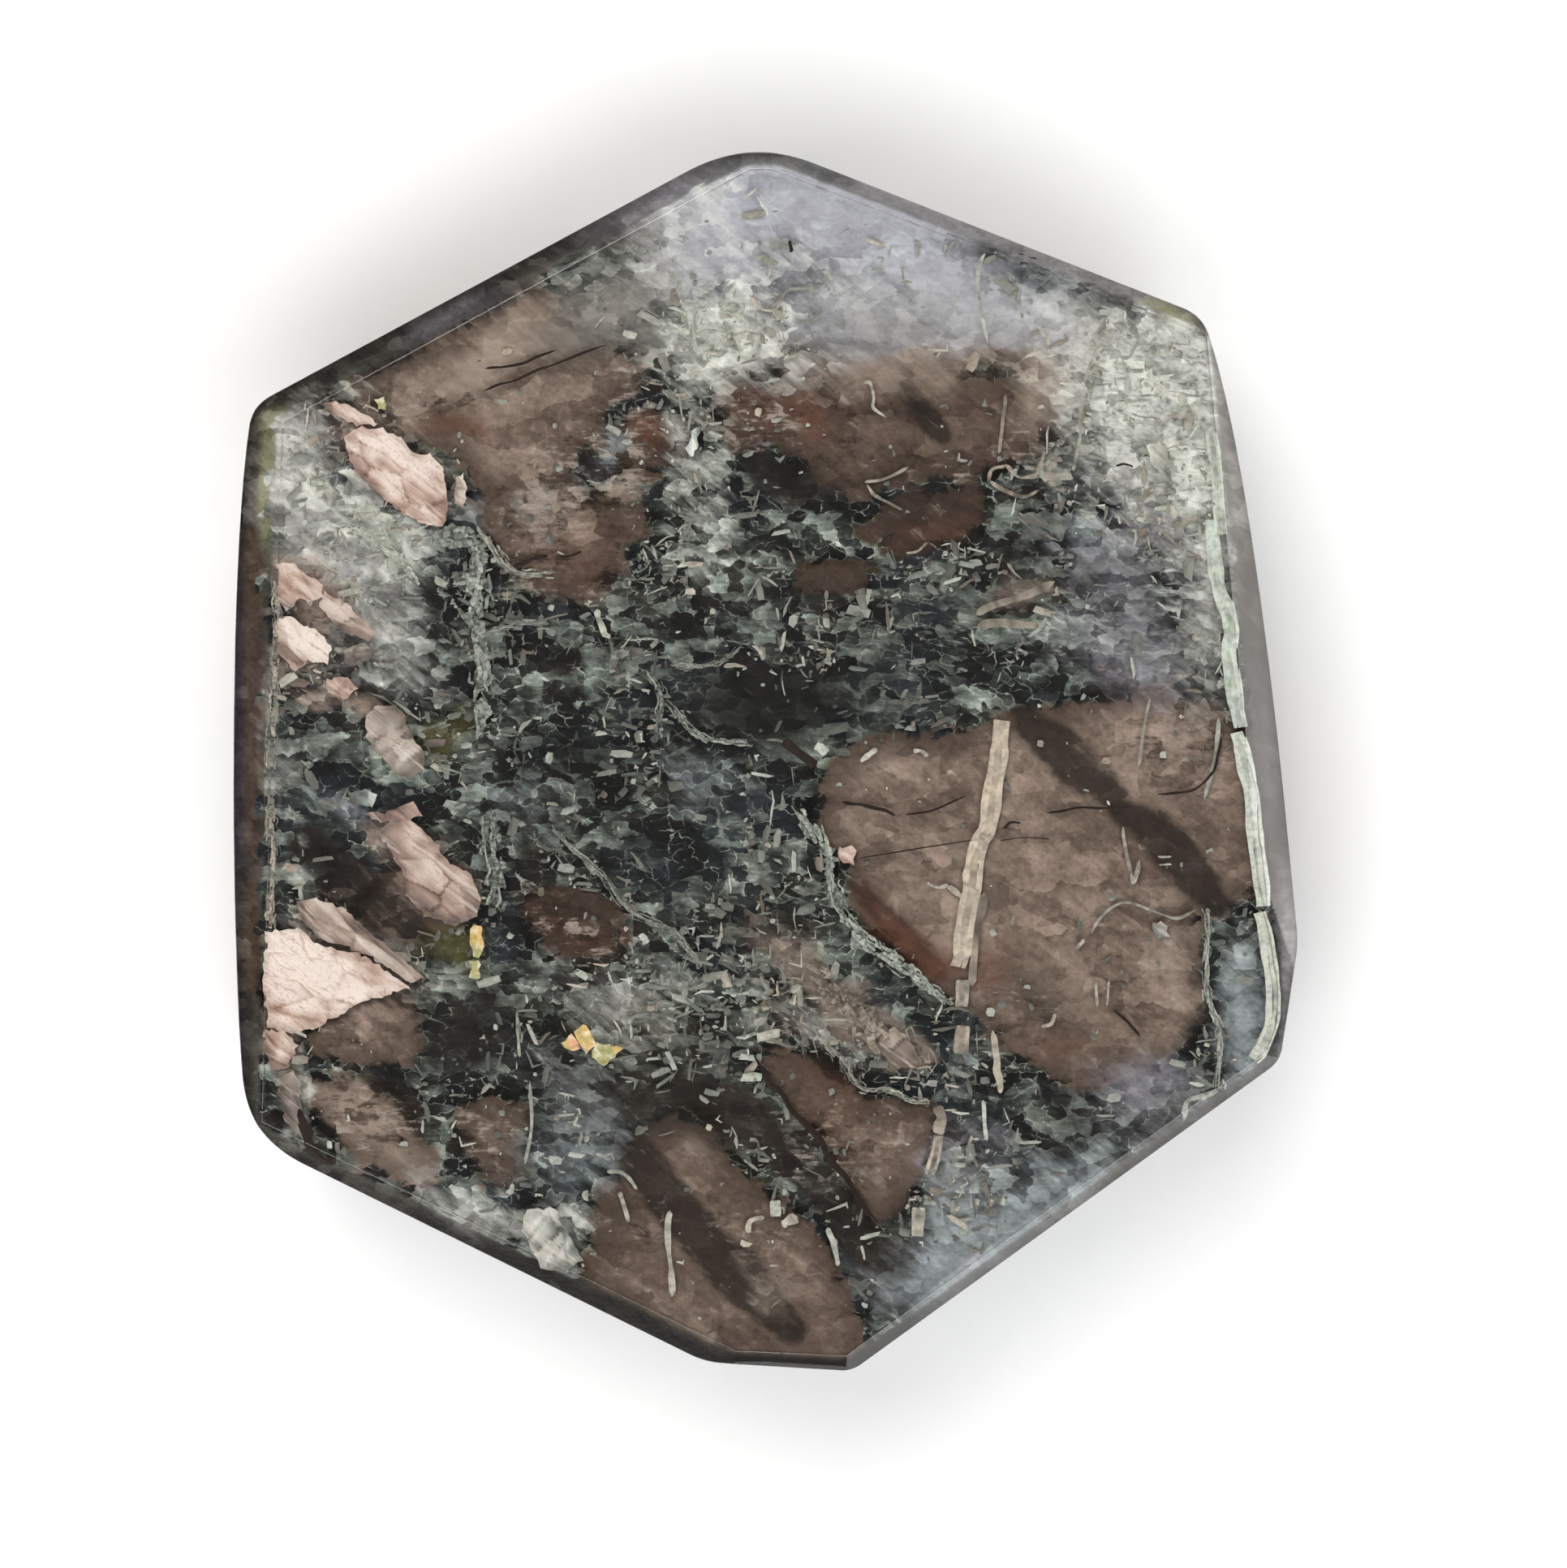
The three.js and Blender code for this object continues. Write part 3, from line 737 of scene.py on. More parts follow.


# Included corundum, grown and then cut: brown growth sectors that look softly lit from inside, by
# painted shade that darkens each sector towards its edges, between grey-green matrix broken into
# angular facets, which gives the eye a cracked depth
def includedCorundum():
    material = newMaterial("includedCorundum")
    add = partial(addNode, material)
    place = add("ShaderNodeTexCoord").outputs["Object"]
    value, shift = {}, {}

    # a field plus shares of several noises
    def blend(field, shares):
        for noise, amount in shares.items():
            field = add("ShaderNodeMath", {0: value[noise], 1: amount, 2: field},
                        operation="MULTIPLY_ADD").outputs[0]
        return field

    def paint(ground, layers):
        return layColours(material, ground, [(value[field], *rest) for field, *rest in layers])

    for name, (sizes, turn, detail, curl) in corundumSetup["noises"].items():
        stretched = add("ShaderNodeMapping", {
            "Vector": place, "Rotation": (0, 0, math.radians(turn)),
            "Scale": [size * mm for size in sizes]}, vector_type="TEXTURE").outputs["Vector"]
        noise = add("ShaderNodeTexNoise", {
            "Vector": stretched, "Scale": 1.0, "Detail": detail, "Roughness": 0.62,
            "Distortion": curl})
        value[name] = add("ShaderNodeMath", {0: noise.outputs["Fac"], 1: 0.5},
                          operation="SUBTRACT").outputs[0]
        shift[name] = add("ShaderNodeVectorMath", {0: noise.outputs["Color"], 1: (0.5, 0.5, 0.5)},
                          operation="SUBTRACT").outputs[0]

    # blocks: each has a tone and a slope across it, and thin films that come and go round it
    shaken = add("ShaderNodeVectorMath", {0: place, "Scale": 1 / mm}, operation="SCALE").outputs[0]
    for name, reach in corundumSetup["shakenBy"].items():
        shaken = add("ShaderNodeVectorMath", {0: shift[name], 1: (reach, reach, reach), 2: shaken},
                     operation="MULTIPLY_ADD").outputs[0]
    shaken = add("ShaderNodeVectorMath", {0: shaken, 1: corundumSetup["blockShape"]},
                 operation="MULTIPLY").outputs[0]
    for name, (perMm, noise) in corundumSetup["blocks"].items():
        cell, second = (add("ShaderNodeTexVoronoi", {"Vector": shaken, "Scale": perMm},
                            voronoi_dimensions="2D", distance="CHEBYCHEV", feature=feature)
                        for feature in ("F1", "F2"))
        random = add("ShaderNodeVectorMath", {0: cell.outputs["Color"], 1: (0.5, 0.5, 0.5)},
                     operation="SUBTRACT").outputs[0]
        toMiddle = add("ShaderNodeVectorMath", {0: shaken, 1: cell.outputs["Position"]},
                       operation="SUBTRACT").outputs[0]
        slope = add("ShaderNodeVectorMath", {0: toMiddle, 1: random}, operation="DOT_PRODUCT")
        tone = add("ShaderNodeSeparateXYZ", {"Vector": random}).outputs["Z"]
        steepness = corundumSetup["blockSlope"] * perMm ** 0.5
        value[name] = add("ShaderNodeMath", {0: slope.outputs["Value"], 1: steepness, 2: tone},
                          operation="MULTIPLY_ADD").outputs[0]
        border = add("ShaderNodeMath", {0: second.outputs["Distance"], 1: cell.outputs["Distance"]},
                     operation="SUBTRACT").outputs[0]
        value[name + "Web"] = add("ShaderNodeMath", {
            0: border, 1: corundumSetup["filmFall"], 2: value[noise]},
            operation="MULTIPLY_ADD").outputs[0]
    for name, (first, shares) in corundumSetup["sums"].items():
        value[name] = blend(value[first], shares)

    edges = dict(corundumSetup["edges"])
    for family, (_, streaky) in cloudColours.items():
        edges[family] = {noise: streaky * share for noise, share in corundumSetup["cloudEdges"].items()}
    for family in bevelColours:
        edges[family] = corundumSetup["bevelEdges"]
    for field, shares in edges.items():
        value[field] = blend(add("ShaderNodeAttribute", attribute_name=field).outputs["Fac"], shares)
    value["cover"] = add("ShaderNodeMath", {0: value["brown"], 1: value["soft"]},
                         operation="DIVIDE").outputs[0]

    ground, layers = corundumSetup["bevel"]
    bevel = paint(ground, layers + [(family, 0.1, 0.8, 0.9, shade)
                                    for family, (shade, _) in bevelColours.items()])
    layers = [("cover", -1.0, 1.0, 1.0, paint(*corundumSetup["brown"])),
              ("bar", -0.04, 0.06, 0.9, corundumSetup["darkBar"]),
              ("rim", -0.03, 0.03, 1.0, corundumSetup["rimLine"])]
    layers += [(family, 0.15, 0.95, 0.86, shade) for family, (shade, _) in cloudColours.items()]
    for zone, (pattern, light, dark) in corundumSetup["zones"].items():
        value[zone] = add("ShaderNodeMath", {0: value[pattern], 1: value[zone]},
                          operation="MULTIPLY").outputs[0]
        layers += [(zone, 0.03, 0.2, 0.75, light), (zone, -0.03, -0.2, 0.7, dark)]
    layers += [("rim", -0.03, 0.03, 0.8, bevel)]
    colour = paint(paint(*corundumSetup["matrix"]), layers)

    # grain over everything: strong in the matrix, weak in the brown
    light = add("ShaderNodeMath", {0: value["grit"], 1: value["grain"], 2: 1.0},
                operation="MULTIPLY_ADD").outputs[0]
    colour = add("ShaderNodeVectorMath", {0: colour, "Scale": light}, operation="SCALE").outputs[0]
    relief = add("ShaderNodeBump", {"Strength": 0.4, "Distance": 0.03 * mm, "Height": value["fine"]})
    shader = add("ShaderNodeBsdfPrincipled", {
        "Base Color": colour, "Roughness": 0.6, "Specular IOR Level": 0.08,
        "Normal": relief.outputs["Normal"]})
    add("ShaderNodeOutputMaterial", {"Surface": shader.outputs["BSDF"]})
    return material


growthSectors = buildGrowthSectors(includedCorundum())
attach(growthSectors, "root")
print("growth sectors made")


# Inclusions: closed slivers, ribbons and plates between the growth sectors and the skin. Each
# carries two numbers: shade, from dull to bright, and warmth, from mint to cream.

sealedBelow = 0.012  # mm of clear skin over every inclusion
squeezedBelow = 0.02  # mm under that in which bits that stand too high are pressed flatter


def newHeap():
    return {"points": [], "faces": [], "shade": [], "warmth": []}


def addShape(heap, points, faces, shade, warmth):
    start = len(heap["points"])
    heap["points"].extend(points)
    heap["faces"].extend(tuple(start + i for i in face) for face in faces)
    for key, value in (("shade", shade), ("warmth", warmth)):
        heap[key].extend(np.broadcast_to(value, len(points)))


# shapes that share their faces; points are given as (shape, corner, axis)
def addCopies(heap, points, faces, shades, warmths):
    for corners, shade, warmth in zip(points, shades, warmths):
        addShape(heap, corners, faces, shade, warmth)


def heapPiece(name, heap, material):
    points = np.array(heap["points"])
    room = skinHeight(points[:, :2], sealedBelow) - points[:, 2]
    pressed = squeezedBelow * np.exp(np.minimum(room / squeezedBelow - 1, 0))
    points[:, 2] += room - np.where(room > squeezedBelow, room, pressed)
    piece = newPiece(name, points, heap["faces"], material,
                     {"shade": heap["shade"], "warmth": heap["warmth"]})
    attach(piece, "root")
    print(name, "made:", len(heap["faces"]), "faces")
    return piece


tubeCorners = ((1, 0), (0, 1), (-1, 0), (0, -1))  # sideways and up


# the faces of a four-sided tube with the given number of rings, closed at both ends
def tubeFaces(rings):
    faces = [(a + k, a + (k + 1) % 4, a + 4 + (k + 1) % 4, a + 4 + k)
             for a in range(0, 4 * rings - 4, 4) for k in range(4)]
    return faces + [(3, 2, 1, 0), tuple(range(4 * rings - 4, 4 * rings))]


ribbonSetup = {
    "swell": (0.65, 1.2), "sway": (-0.3, 0.3), "tone": (-0.3, 0.15), "speckle": 0.2,
    "taper": 12, "thinEnd": 0.2, "strandEnd": 0.85,  # how its ends narrow, as shares of its width
    "thickness": 0.5, "leastThick": 0.003,  # share of its width, mm
}


# a ribbon along a line of (x, y): four-sided, thin at its ends, wavering in width and shade;
# a strand of a wide vein lies to one side of the line and takes a share of its width
def addRibbon(heap, line, halfWidth, depth, shade=0.6, warmth=0.3, seed=0, side=0.0, share=1.0):
    line = roundOff(line, 6, False)
    count = len(line)
    draws = np.random.default_rng(seed)
    along = np.linspace(0, 1, count)
    knots = np.linspace(0, 1, count // 3 + 2)
    swell, sway, tone = (np.interp(along, knots, draws.uniform(*ribbonSetup[key], len(knots)))
                         for key in ("swell", "sway", "tone"))
    sway *= share
    end = ribbonSetup["thinEnd" if share == 1 else "strandEnd"]
    widths = halfWidth * np.clip(ribbonSetup["taper"] * along * (1 - along), end, 1)
    ahead = np.gradient(line, axis=0)
    ahead /= np.maximum(np.hypot(ahead[:, 0], ahead[:, 1]), 1e-9)[:, None]
    sideways = np.column_stack([-ahead[:, 1], ahead[:, 0]])
    line = line + sideways * ((side + sway) * widths)[:, None]
    widths = widths * swell * share
    middle = skinHeight(line, depth)
    thick = ribbonSetup["thickness"] * widths + ribbonSetup["leastThick"]
    ring = [np.column_stack([line + sideways * (reach * widths)[:, None], middle + lift * thick])
            for reach, lift in tubeCorners]
    shades = np.clip(shade + tone + ribbonSetup["speckle"] * draws.uniform(-1, 1, count), 0, 1)
    points = np.stack(ring, axis=1).reshape(-1, 3)
    addShape(heap, points, tubeFaces(count), np.repeat(shades, 4), warmth)


plateSetup = {
    "step": 0.045, "shake": 0.018,  # how its broken outline is cut and shaken, mm
    "turn": -38, "grain": 0.028,  # degrees, and mm between its mesh points
    "facetArea": 0.1, "facetTilt": 0.09, "creaseShadeWidth": 0.035,  # square mm, slope, mm
    "foldSize": 0.11, "foldRise": 0.006, "edgeFadeWidth": 0.13,  # mm
    "face": 0.006, "swell": 0.008, "back": 0.012,  # heights of its faces over and under its depth
    "toneShare": 0.2, "foldShare": 0.2, "tiltShadeShare": 0.25, "edgeFadeShare": 0.22, "creaseShadeShare": 0.3,
}


# an outline with its straight sides cut into short steps and shaken, so that it looks broken
def brokenOutline(outline, step, shake, draws):
    outline = np.asarray(outline, dtype=float)
    cut = []
    for start, end in zip(outline, np.roll(outline, -1, axis=0)):
        count = max(1, round(math.dist(start, end) / step))
        cut.extend(start + (end - start) * k / count for k in range(count))
    return np.array(cut) + draws.uniform(-shake, shake, (len(cut), 2))


# a crystal plate inside an outline: flat facets that lie along its turn, each with its own tilt
# and shade, over shallow folds
def addPlate(heap, outline, depth, shade, warmth, turn=plateSetup["turn"], seed=0):
    draws = np.random.default_rng(seed)
    grain, foldSize = plateSetup["grain"], plateSetup["foldSize"]
    outline = brokenOutline(outline, plateSetup["step"], plateSetup["shake"], draws)
    low, high = outline.min(axis=0), outline.max(axis=0)
    columns, rows = (np.ceil((high - low) / grain) + 1).astype(int)
    across, along = np.meshgrid(np.linspace(low[0], high[0], columns),
                                np.linspace(low[1], high[1], rows))
    inner = np.column_stack([across.ravel(), along.ravel()])
    inner = inner[insideDistance(inner, outline) > 0.4 * grain]
    rim = list(range(len(outline)))
    edges = [(i, (i + 1) % len(rim)) for i in rim]
    placed, _, triangles, *_ = delaunay_2d_cdt(
        [Vector(p) for p in np.concatenate([outline, inner])], edges, [rim], 1, 1e-5)
    flat = np.array([p[:] for p in placed])
    inside = np.clip(insideDistance(flat, outline), 0, None)
    middle = skinHeight(flat, depth)
    cosine, sine = math.cos(math.radians(turn)), math.sin(math.radians(turn))
    spin = np.array([[cosine, -sine], [sine, cosine]])
    # facets are twice as long as wide
    sites = draws.uniform(low, high, (3 + round((high - low).prod() / plateSetup["facetArea"]), 2))
    apart = ((flat @ spin)[:, None] - sites @ spin) / (2, 1)
    apart = np.hypot(apart[:, :, 0], apart[:, :, 1])
    facet = apart.argmin(axis=1)
    nearest = np.sort(apart, axis=1)
    # painted shade in the creases along the facets' borders, stronger on some facets than others
    creaseShade = 1 - smoothStep(nearest[:, 1] - nearest[:, 0], 0, plateSetup["creaseShadeWidth"])
    creaseShade *= draws.uniform(0, 1, len(sites))[facet]
    tilt = draws.normal(0, plateSetup["facetTilt"], sites.shape)[facet]
    lean = ((flat - sites[facet]) * tilt).sum(axis=1)
    tone = draws.uniform(-1, 1, len(sites))[facet]
    turned = np.column_stack([flat @ spin / (4, 1), np.full(len(flat), seed)])
    folds = 1 - 2.2 * np.abs(lumps(turned, foldSize, seed + 31))
    folds += 0.6 * lumps(turned * (4, 1, 1), 0.1, seed + 32)
    rise = smoothStep(inside, 0, 0.05)
    # darker towards the plate's edge, along a ragged line
    edgeFade = inside + 0.1 * lumps(turned, 0.09, seed + 33)
    edgeFade = 1 - smoothStep(edgeFade, 0.0, plateSetup["edgeFadeWidth"])
    count = len(flat)
    swell = plateSetup["swell"] + plateSetup["foldRise"] * folds + lean
    upper = np.column_stack([flat, middle + plateSetup["face"] + rise * swell])
    lower = np.column_stack([flat, middle - plateSetup["back"] * (1 + rise)])
    faces = [tuple(t) for t in triangles] + [tuple(count + i for i in reversed(t)) for t in triangles]
    directed = {(t[k], t[(k + 1) % 3]) for t in triangles for k in range(3)}
    faces += [(b, a, count + a, count + b) for a, b in directed if (b, a) not in directed]
    # painted shading: each plate gets lighter towards one side and darker towards the other, as a tilted
    # film would
    across = turned[:, 1] - turned[:, 1].mean()
    shades = shade + plateSetup["toneShare"] * tone + plateSetup["foldShare"] * folds
    shades += plateSetup["tiltShadeShare"] * across / np.abs(across).max()
    shades -= plateSetup["edgeFadeShare"] * edgeFade + plateSetup["creaseShadeShare"] * creaseShade
    shades = np.clip(shades, 0, 1)
    addShape(heap, np.concatenate([upper, lower]), faces, np.tile(shades, 2), warmth)


hookShape = {
    "scatter": 0.1, "steps": (0.4, 1.5), "rise": 0.2,  # radians, and shares of its mean step
    "profile": (0.4, 1, 0.9, 0.35), "widths": (0.6, 1.3), "thickness": 0.6, "mitre": 0.65,
    "seed": 78,
}


# many small hooks at once: short four-sided ribbons that step aside at their joints
def addHooks(heap, centres, lengths, widths, turns, bends, shades, warmths):
    count, joints = bends.shape
    draws = np.random.default_rng(hookShape["seed"])
    headings = turns[:, None] + np.cumsum(bends, axis=1)
    headings = headings + draws.normal(0, hookShape["scatter"], bends.shape)
    steps = (lengths / joints)[:, None] * draws.uniform(*hookShape["steps"], bends.shape)
    x = centres[:, :1] + np.cumsum(steps * np.cos(headings), axis=1)
    y = centres[:, 1:2] + np.cumsum(steps * np.sin(headings), axis=1)
    z = centres[:, 2:] + np.cumsum(steps * draws.normal(0, hookShape["rise"], bends.shape), axis=1)
    half = widths[:, None] * hookShape["profile"] * draws.uniform(*hookShape["widths"], bends.shape)
    # each corner is mitred between the steps before and after it
    before = np.column_stack([headings[:, 1], headings[:, 1:]])
    after = np.column_stack([headings[:, 1:], headings[:, -1]])
    headings = (before + after) / 2
    half = half / np.clip(np.cos((after - before) / 2), hookShape["mitre"], 1)
    rings = np.empty((count, joints, 4, 3))
    for k, (side, lift) in enumerate(tubeCorners):
        rings[:, :, k, 0] = x - side * half * np.sin(headings)
        rings[:, :, k, 1] = y + side * half * np.cos(headings)
        rings[:, :, k, 2] = z + lift * hookShape["thickness"] * half
    addCopies(heap, rings.reshape(count, -1, 3), tubeFaces(joints), shades, warmths)


sliverShape = {
    "ring": ((-1, -0.6), (-0.8, 0.9), (0.3, 1), (1, 0.5), (0.85, -0.9), (-0.3, -1)),
    "top": (0.15, 0.1, 1), "bottom": (0, 0, -1),
    "thickness": 0.55, "sizes": (0.7, 1.15),  # share of its width, how much its corners differ
    "seed": 77,
}


# many small slivers at once: each is a blocky six-sided lens with its own size, turn and tilt
def addSlivers(heap, centres, lengths, widths, turns, tilts, shades, warmths):
    ring = [(x, y, 0) for x, y in sliverShape["ring"]]
    template = np.array([*ring, sliverShape["top"], sliverShape["bottom"]], dtype=float)
    draws = np.random.default_rng(sliverShape["seed"])
    sizes = np.column_stack([lengths, widths, sliverShape["thickness"] * widths])
    local = template * sizes[:, None]
    local = local * draws.uniform(*sliverShape["sizes"], (len(centres), len(template), 1))
    x, y, z = np.moveaxis(local, 2, 0)
    z = z + x * np.tan(tilts[:, :1]) + y * np.tan(tilts[:, 1:])
    cosine, sine = np.cos(turns)[:, None], np.sin(turns)[:, None]
    placed = np.stack([x * cosine - y * sine, x * sine + y * cosine, z], axis=2) + centres[:, None]
    faces = []
    for k in range(len(ring)):
        n = (k + 1) % len(ring)
        faces += [(n, k, len(ring)), (k, n, len(ring) + 1)]
    addCopies(heap, placed, faces, shades, warmths)


# Pale corundum slivers and films: chalky to pearly, so they stand out bright in the dark matrix
def palePearl():
    material = newMaterial("palePearl")
    add = partial(addNode, material)
    shade, warmth = (add("ShaderNodeAttribute", attribute_name=field).outputs["Fac"]
                     for field in ("shade", "warmth"))
    cool, warm = (add("ShaderNodeMix", {0: shade, 6: dull, 7: bright}, data_type="RGBA").outputs[2]
                  for dull, bright in (("#4d534e", "#dfe7db"), ("#665950", "#e6d4bf")))
    both = add("ShaderNodeMix", {0: warmth, 6: cool, 7: warm}, data_type="RGBA").outputs[2]
    place = add("ShaderNodeTexCoord").outputs["Object"]
    # cloudy patches 0.05 mm across
    cloudy = add("ShaderNodeTexNoise", {"Vector": place, "Scale": 20 / mm, "Detail": 2.0})
    share = add("ShaderNodeMapRange", {
        "Value": cloudy.outputs["Fac"], "From Min": 0.45, "From Max": 0.75, "To Max": 0.45}).outputs[0]
    mixed = add("ShaderNodeMix", {0: share, 6: both, 7: "#55584f"}, data_type="RGBA").outputs[2]
    shader = add("ShaderNodeBsdfPrincipled", {
        "Base Color": mixed, "Roughness": 0.4, "Specular IOR Level": 0.3})
    add("ShaderNodeOutputMaterial", {"Surface": shader.outputs["BSDF"]})
    return material


pearl = palePearl()


